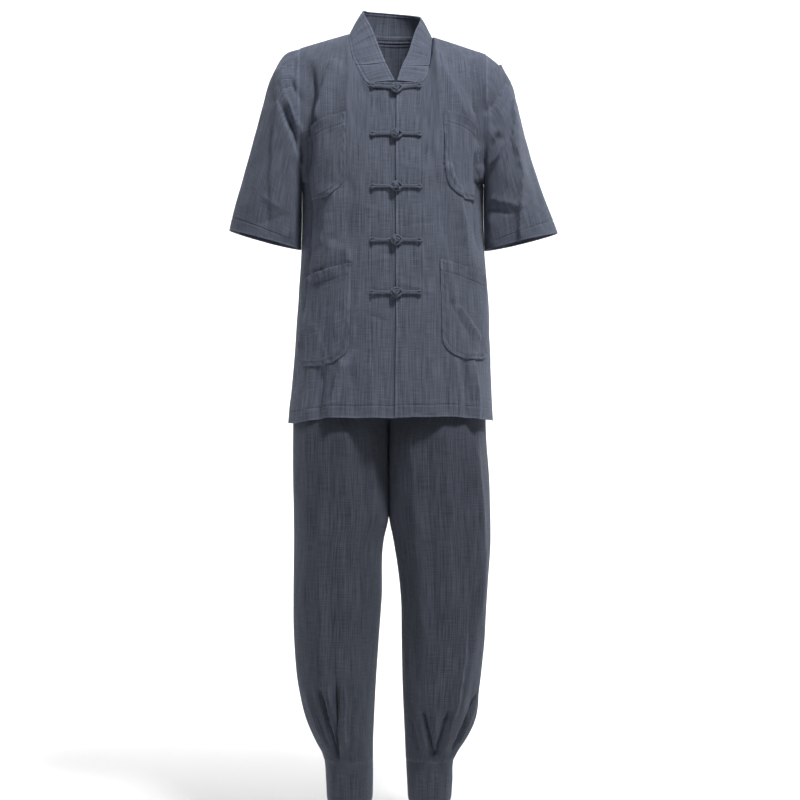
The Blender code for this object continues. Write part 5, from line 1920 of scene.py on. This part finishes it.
        across = np.sort(side.value * shares * self.block.half_girth)
        sheet = Sheet(grid[:, order], across, grain_along(grid))
        sew_up(name, sheet, self.finish, wall=POCKET_WALL)
        mouth = sheet.grain_v[-1]
        for row in self.pocket_rows:
            left, right = across[0] + row, across[-1] - row
            line = [(left, mouth - 0.002), (left, row), (right, row), (right, mouth - 0.002)]
            self.thread.run(sheet, line)
        left, right = across[0] + self.pocket_rows[0], across[-1] - self.pocket_rows[0]
        self.thread.run(sheet, [(left, mouth - self.mouth_hem), (right, mouth - self.mouth_hem)])

    def surface_y(self, x: float, z: float) -> float:
        """Y of the cloth in front, from the nearest grid point of each front.

        Args:
            x: place across the body.
            z: its height.

        Returns:
            The Y nearest to the camera.
        """
        found = []
        for side, sheet in self.fronts.items():
            near = np.abs(sheet.points[..., 0] - x) + np.abs(sheet.points[..., 2] - z)
            spot = np.unravel_index(int(near.argmin()), near.shape)
            if near[spot] < 0.008:
                found.append(float(sheet.points[spot][1]))
        return min(found)

    def build(self) -> None:
        """Builds every jacket piece in order, then the thread."""
        for side in Side:
            self.make_front(side)
        self.make_back()
        for side in Side:
            self.make_sleeve(side)
        self.make_collar()
        for row in self.pockets:
            self.make_pocket(row)
        settle(self.thread.add("jacket_stitching", self.finishes.thread), "jacket_cloth")


# ---- frog fastenings ----


@dataclass
class Frogs:
    """Five knotted fastenings of doubled cord."""

    jacket: Jacket
    middle_x: float = 0.0060
    heights: tuple[float, ...] = (-0.1190, -0.2055, -0.3035, -0.4025, -0.4990)
    half_span: float = 0.0460
    cord: float = 0.0023
    knot_radius: float = 0.0045
    loop_wide: float = 0.0088
    top_drop: float = 0.0060

    def height(self, z: float, x: float) -> float:
        """Height of an arm; the top pair rises to the collar ends."""
        rise = self.top_drop if z == self.heights[0] else 0.0
        return z + rise * abs(x - self.middle_x) / self.half_span

    def lay(self, path: Sequence[tuple[float, float, float]], z: float) -> np.ndarray:
        """Lay a cord's path on the cloth.

        Args:
            path: x, height over the arm's line and extra lift of each point.
            z: height of the fastening.

        Returns:
            Points of the cord's middle line.
        """
        points = []
        for x, aside, lift in path:
            up = self.height(z, x) + aside
            rest = min(self.jacket.surface_y(x, up), self.jacket.surface_y(x, min(up + 0.003, -0.112)))
            points.append((x, rest - self.cord - 0.0004 - lift, up))
        return np.array(points)

    def refine(self, path: np.ndarray, count: int) -> np.ndarray:
        """A closed path on smooth curves through its points.

        Args:
            path: its points.
            count: points asked for.

        Returns:
            The finer path.
        """
        loop = np.concatenate([path[-2:], path, path[:3]])
        keys = np.arange(-2, len(path) + 3, dtype=float)
        return smooth_rows(np.column_stack([keys, loop]), np.linspace(0, len(path), count, endpoint=False))

    def arm(self, sign: int, start: float) -> list[tuple[float, float, float]]:
        """Upper cord of one arm from its rolled end inwards.

        Args:
            sign: -1 for the knot's arm, 1 for the loop's.
            start: distance of the arm's inner end from the middle.

        Returns:
            Points as x, height over the line and lift.
        """
        end = self.middle_x + sign * self.half_span
        rest = self.cord * 0.46
        return [
            (end, 0.0, 0.0003),
            (end - sign * 0.0009, 0.0019, 0.0009),
            (end - sign * 0.0036, 0.0027, 0.0014),
            (end - sign * 0.0070, rest + 0.0003, 0.0002),
            (end - sign * 0.0180, rest, 0.0),
            (end - sign * 0.0290, rest, 0.0),
            (self.middle_x + sign * start, rest, 0.0003),
        ]

    def make_knot(self, number: int, z: float) -> None:
        """The knot half: its stem, the ball of crossed cord and its core.

        Args:
            number: which fastening, from the top.
            z: its height.
        """
        upper = self.arm(-1, 0.0070)
        path = upper + [(self.middle_x - 0.0030, 0.0, 0.0022)] + [(x, -h, w) for x, h, w in upper[:0:-1]]
        stem = self.refine(self.lay(path, z), 96)
        parts = [tube(stem, self.cord * (1 + 0.05 * np.sin(np.arange(96) * 1.9)), 10, True)]
        centre = np.array([self.middle_x, self.lay([(self.middle_x, 0.0, 0.0)], z)[0, 1] - 0.0034, z])
        t = np.linspace(0, 2 * math.pi, 150, endpoint=False)
        around, up = 2 * t + 0.5 * number, 0.95 * np.sin(3 * t)
        radius = self.knot_radius + 0.0009 * np.cos(3 * t)
        ball = centre + radius[:, None] * np.stack(
            [np.cos(up) * np.cos(around), -np.sin(up) * 0.9, np.cos(up) * np.sin(around)], 1
        )
        parts.append(tube(ball, np.full(150, 0.0020), 9, True))
        poles = np.linspace(-1, 1, 13)
        core = np.stack([centre + np.array([0, 0.0046 * p, 0]) for p in poles])
        parts.append(tube(core, np.maximum(0.0046 * np.sqrt(1 - poles**2), 0.0002), 12, False))
        self.add(f"frog_knot_{number}", parts)

    def make_loop(self, number: int, z: float) -> None:
        """The loop half: its stem opens round the knot.

        Args:
            number: which fastening, from the top.
            z: its height.
        """
        wide = self.loop_wide
        upper = self.arm(1, 0.0118)
        ring = [
            (self.middle_x + wide * 0.72, wide * 0.66, 0.0006),
            (self.middle_x, wide * 0.86, 0.0016),
            (self.middle_x - wide * 0.60, wide * 0.62, 0.0034),
        ]
        path = upper + ring + [(self.middle_x - wide * 0.86, 0.0, 0.0044)]
        path += [(x, -h, w) for x, h, w in reversed(upper[1:] + ring)]
        loop = self.refine(self.lay(path, z), 120)
        self.add(f"frog_loop_{number}", [tube(loop, np.full(120, self.cord), 10, True)])

    def add(self, name: str, parts: list[tuple[np.ndarray, list]]) -> None:
        """Join the parts of one half and settle it.

        Args:
            name: the node it stands for.
            parts: points and faces of each part.
        """
        points, faces, base = [], [], 0
        for block, sides in parts:
            points.append(block)
            faces += [tuple(base + n for n in face) for face in sides]
            base += len(block)
        joined = np.concatenate(points)
        grain = [(joined[n][0] + joined[n][1], joined[n][2]) for face in faces for n in face]
        piece = add_mesh(name, joined, faces, self.jacket.finishes.cord, np.array(grain))
        settle(piece, "cord_cloth", name)

    def build(self) -> None:
        """Builds all five fastenings."""
        for number, z in enumerate(self.heights, start=1):
            self.make_knot(number, z)
            self.make_loop(number, z)


# ---- trousers ----


@dataclass
class Trousers:
    """The trousers: four leg panels, the waistband and two pleated cuffs."""

    finishes: Finishes
    squareness: float = 2.3
    middle_x: float = -0.0080
    rise_top_z: float = -0.6400
    crotch_z: float = -0.7750
    touch: float = 0.0002
    top_z: float = -0.4303
    tuck_top_z: float = -1.2200
    tuck_share: float = 0.45
    panel_width: float = 0.25
    cuff_top_z: float = -1.3790
    cuff_foot_z: float = -1.4560
    waistband: tuple[float, float] = (-0.4300, -0.3950)
    panel_cut: Cut = Cut(0.30, 0.97, 0.235, Held.GATHERED, ("waistband",))
    cuff_cut: Cut = Cut(0.34, 0.080, 0.026, Held.GATHERED)
    band_cut: Cut = Cut(0.80, 0.036, 0.028, Held.GATHERED)

    def __post_init__(self) -> None:
        """Sets the drape and starts the thread."""
        self.drape = Drape(
            TROUSER_FRONT_FOLDS,
            TROUSER_BACK_FOLDS,
            37,
            ripples=((0.055, 0.160, 0.0024), (0.022, 0.070, 0.0010), (0.010, 0.024, 0.00036)),
        )
        self.thread = Stitching()
        self.finish = (self.finishes.trousers, "trouser_cloth")

    def leg(self, side: Side, facing: Facing, share: np.ndarray, z: np.ndarray) -> np.ndarray:
        """Block points of a leg panel.

        Args:
            side: the wearer's side.
            facing: front or back.
            share: 0 at the outer seam and 1 at the inner one.
            z: heights.

        Returns:
            The points.
        """
        share, z = np.broadcast_arrays(share, z)
        row = by_height(TROUSER_SECTIONS, z)
        right = side is Side.RIGHT
        outer = row[..., 0] if right else row[..., 3]
        inner = row[..., 1] if right else row[..., 2]
        deep = row[..., 4] if right else row[..., 5]
        exponent = 2 / self.squareness
        middle = self.middle_x - side.value * self.touch
        quarter = share * math.pi / 2
        hip_x = middle + (outer - middle) * signed_power(np.cos(quarter), exponent)
        hip_y = facing.value * deep * np.sin(quarter) ** exponent
        inner = np.minimum(inner, middle) if right else np.maximum(inner, middle)
        turn = share * math.pi
        leg_x = (outer + inner) / 2 + (outer - inner) / 2 * signed_power(np.cos(turn), exponent)
        leg_y = facing.value * deep * 0.93 * np.clip(np.sin(turn), 0, 1) ** exponent
        blend = soft_step((self.rise_top_z - z) / (self.rise_top_z - self.crotch_z))
        x = hip_x + (leg_x - hip_x) * blend
        y = hip_y + (leg_y - hip_y) * blend
        seam = (share == 0) | ((share == 1) & (blend == 1))
        return np.stack([x, y + facing.value * SEAM_GAP / 2 * seam, z], -1)

    def make_panel(self, side: Side, facing: Facing) -> None:
        """One leg panel with its folds and pleats.

        Args:
            side: the wearer's side.
            facing: front or back.
        """
        upper = np.linspace(self.top_z, self.tuck_top_z, 118)[:-1]
        z = np.concatenate([upper, np.linspace(self.tuck_top_z, self.cuff_top_z + SEAM_GAP, 76)])
        even = np.linspace(0, 1, 93)
        share = even + self.tuck_share * np.sin(2 * math.pi * even) / (2 * math.pi)
        share_grid = np.broadcast_to(share, (len(z), len(share)))
        z_grid = np.broadcast_to(z[:, None], share_grid.shape)
        grid = self.leg(side, facing, share_grid, z_grid)
        row = by_height(TROUSER_SECTIONS, z)
        outer, inner = (row[:, 0], row[:, 1]) if side is Side.RIGHT else (row[:, 3], row[:, 2])
        way = grid * np.array([1.0, 1.0, 0.0])
        way[..., 0] = (way[..., 0] - (outer + inner)[:, None] / 2) * 0.4
        way /= np.maximum(np.linalg.norm(way, axis=2, keepdims=True), TINY)
        seam = soft_step(np.minimum(share, 1 - share) / 0.12)[None]
        u = side.value * (share - 0.5) * 0.24 + (2.0 if facing is Facing.BACK else 0.0)
        height = self.drape.lift(grid, np.broadcast_to(u, share_grid.shape), 1.0) * seam
        end = bump(z - self.cuff_top_z, 0.004)[:, None]
        grid = grid + way * (height - 0.0012 * end * seam)[..., None]
        flip = side.value * facing.value > 0
        order = slice(None, None, -1) if flip else slice(None)
        sheet = Sheet(grid[:, order], share * self.panel_width, grain_along(grid))
        sew_up(f"trouser_{facing.name.lower()}_{side.word}", sheet, self.finish)

    def make_ring(
        self, name: str, side: Side | None, heights: np.ndarray, gathers: float
    ) -> Sheet:
        """A band round the waist or an ankle.

        Args:
            name: the node it stands for.
            side: the leg, or None for the waist.
            heights: its rows.
            gathers: depth of its gathers.

        Returns:
            The band's sheet.
        """
        a = np.linspace(0, 2 * math.pi, 120 if side else 260, endpoint=False)
        row = by_height(TROUSER_SECTIONS, heights)[:, None, :]
        if side is None:
            low, high, deep = row[..., 0], row[..., 3], row[..., 4]
        elif side is Side.RIGHT:
            low, high, deep = row[..., 0], row[..., 1], row[..., 4] * 0.93
        else:
            low, high, deep = row[..., 2], row[..., 3], row[..., 5] * 0.93
        exponent = 2 / self.squareness
        x = (low + high) / 2 + (high - low) / 2 * signed_power(np.cos(a), exponent)
        y = deep * signed_power(np.sin(a), exponent)
        z = np.broadcast_to(heights[:, None], x.shape)
        grid = np.stack([x, y, z], -1)
        centre = np.stack([(low + high) / 2 + 0 * x, 0 * y, z], -1)
        way = (grid - centre) / np.linalg.norm(grid - centre, axis=2, keepdims=True)
        wave = gathers * (np.sin(46 * a) * 0.6 + soft_noise(a * 0.05, a * 0, (0.0045, 1.0), 71))
        rows = len(heights)
        edge = np.minimum(np.arange(rows), np.arange(rows)[::-1])[:, None] / max(rows - 1, 1)
        dent = -0.0008 * bump(edge, 0.06)
        grid = grid + way * (wave * np.sin(np.clip(edge * 2.2, 0, 1) * math.pi / 2) + dent)[..., None]
        spans = np.linalg.norm(np.diff(np.concatenate([grid, grid[:, :1]], 1), axis=1), axis=2)
        u = np.concatenate([[0.0], np.cumsum(spans.mean(axis=0))])
        sheet = Sheet(grid, u, grain_along(grid), closed=True)
        sew_up(name, sheet, self.finish, wall=DOUBLE_WALL)
        return sheet

    def build(self) -> None:
        """Builds every trouser piece in order, then the thread."""
        for side in Side:
            for facing in Facing:
                self.make_panel(side, facing)
            heights = np.linspace(self.cuff_foot_z, self.cuff_top_z, 27)
            sheet = self.make_ring(f"cuff_{side.word}", side, heights, 0.0003)
            for row in (0.006, sheet.grain_v[-1] - 0.004):
                self.thread.round(sheet, row)
        band = np.linspace(*self.waistband, 15)
        self.make_ring("waistband", None, band, 0.0011)
        settle(self.thread.add("trouser_stitching", self.finishes.thread), "trouser_cloth")


# ---- studio ----


@dataclass(frozen=True)
class SoftBox:
    """One square soft light."""

    name: str
    place: tuple[float, float, float]
    aim: tuple[float, float, float]
    size: float
    power: float

    def build(self) -> None:
        """Adds the light to the scene."""
        data = bpy.data.lights.new(self.name, "AREA")
        data.shape = "SQUARE"
        data.size = self.size
        data.energy = self.power
        light = bpy.data.objects.new(self.name, data)
        light.location = self.place
        light.rotation_euler = (Vector(self.aim) - Vector(self.place)).to_track_quat("-Z", "Y").to_euler()
        bpy.context.scene.collection.objects.link(light)


@dataclass
class Studio:
    """Camera, backdrop and soft lights."""

    camera_place: tuple[float, float, float] = (0.0133, -3.6, -0.697)
    lens: float = 85.0
    floor_z: float = -1.540
    daylight: float = 0.08
    boxes: tuple[SoftBox, ...] = (
        SoftBox("key_light", (0.80, -1.45, 1.95), (0.0, 0.0, -0.25), 0.48, 90.0),
        SoftBox("fill_light", (-1.6, -2.3, 1.3), (0.0, 0.0, -0.40), 0.9, 8.0),
        SoftBox("wall_light_left", (-2.2, 1.9, 1.6), (-0.8, 3.8, -0.2), 1.8, 105.0),
        SoftBox("wall_light_right", (2.2, 1.9, 1.6), (0.8, 3.8, -0.2), 1.8, 105.0),
    )

    def make_backdrop(self) -> bpy.types.Object:
        """A paper sweep: a floor that curves up into a wall.

        Returns:
            The backdrop.
        """
        profile = [(-9.0, 0.0), (2.2, 0.0)]
        bend = 1.6
        for angle in np.linspace(0, math.pi / 2, 15)[1:]:
            profile.append((2.2 + bend * math.sin(angle), bend * (1 - math.cos(angle))))
        profile.append((2.2 + bend, 9.0))
        points = [(x, y, self.floor_z + z) for y, z in profile for x in (-9.0, 9.0)]
        faces = [(n, n + 1, n + 3, n + 2) for n in range(0, len(points) - 2, 2)]
        backdrop = add_mesh("backdrop", np.array(points), faces, StudioFinish().build())
        return backdrop

    def make_camera(self) -> None:
        """Adds the camera at the photograph's angle."""
        data = bpy.data.cameras.new("camera")
        data.lens = self.lens
        data.sensor_width = 36.0
        camera = bpy.data.objects.new("camera", data)
        camera.location = self.camera_place
        camera.rotation_euler = (math.pi / 2, 0.0, 0.0)
        bpy.context.scene.collection.objects.link(camera)
        bpy.context.scene.camera = camera

    def make_daylight(self) -> None:
        """Sets an even pale sky."""
        world = bpy.data.worlds.new("daylight")
        bpy.context.scene.world = world
        world.use_nodes = True
        sky = world.node_tree.nodes["Background"]
        sky.inputs["Color"].default_value = (0.97, 0.985, 1.0, 1.0)
        sky.inputs["Strength"].default_value = self.daylight

    def build(self) -> None:
        """Builds the whole studio."""
        self.make_camera()
        self.make_daylight()
        self.make_backdrop()
        for box in self.boxes:
            box.build()
        bpy.context.scene.view_settings.view_transform = "Standard"


def main() -> None:
    """Dress the frame: studio, jacket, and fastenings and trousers."""
    logging.basicConfig(level=logging.INFO, format="%(name)s %(message)s")
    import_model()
    Studio().build()
    finishes = Finishes.make()
    jacket = Jacket(finishes)
    jacket.build()
    Frogs(jacket).build()
    Trousers(finishes).build()


if __name__ == "__main__":
    main()
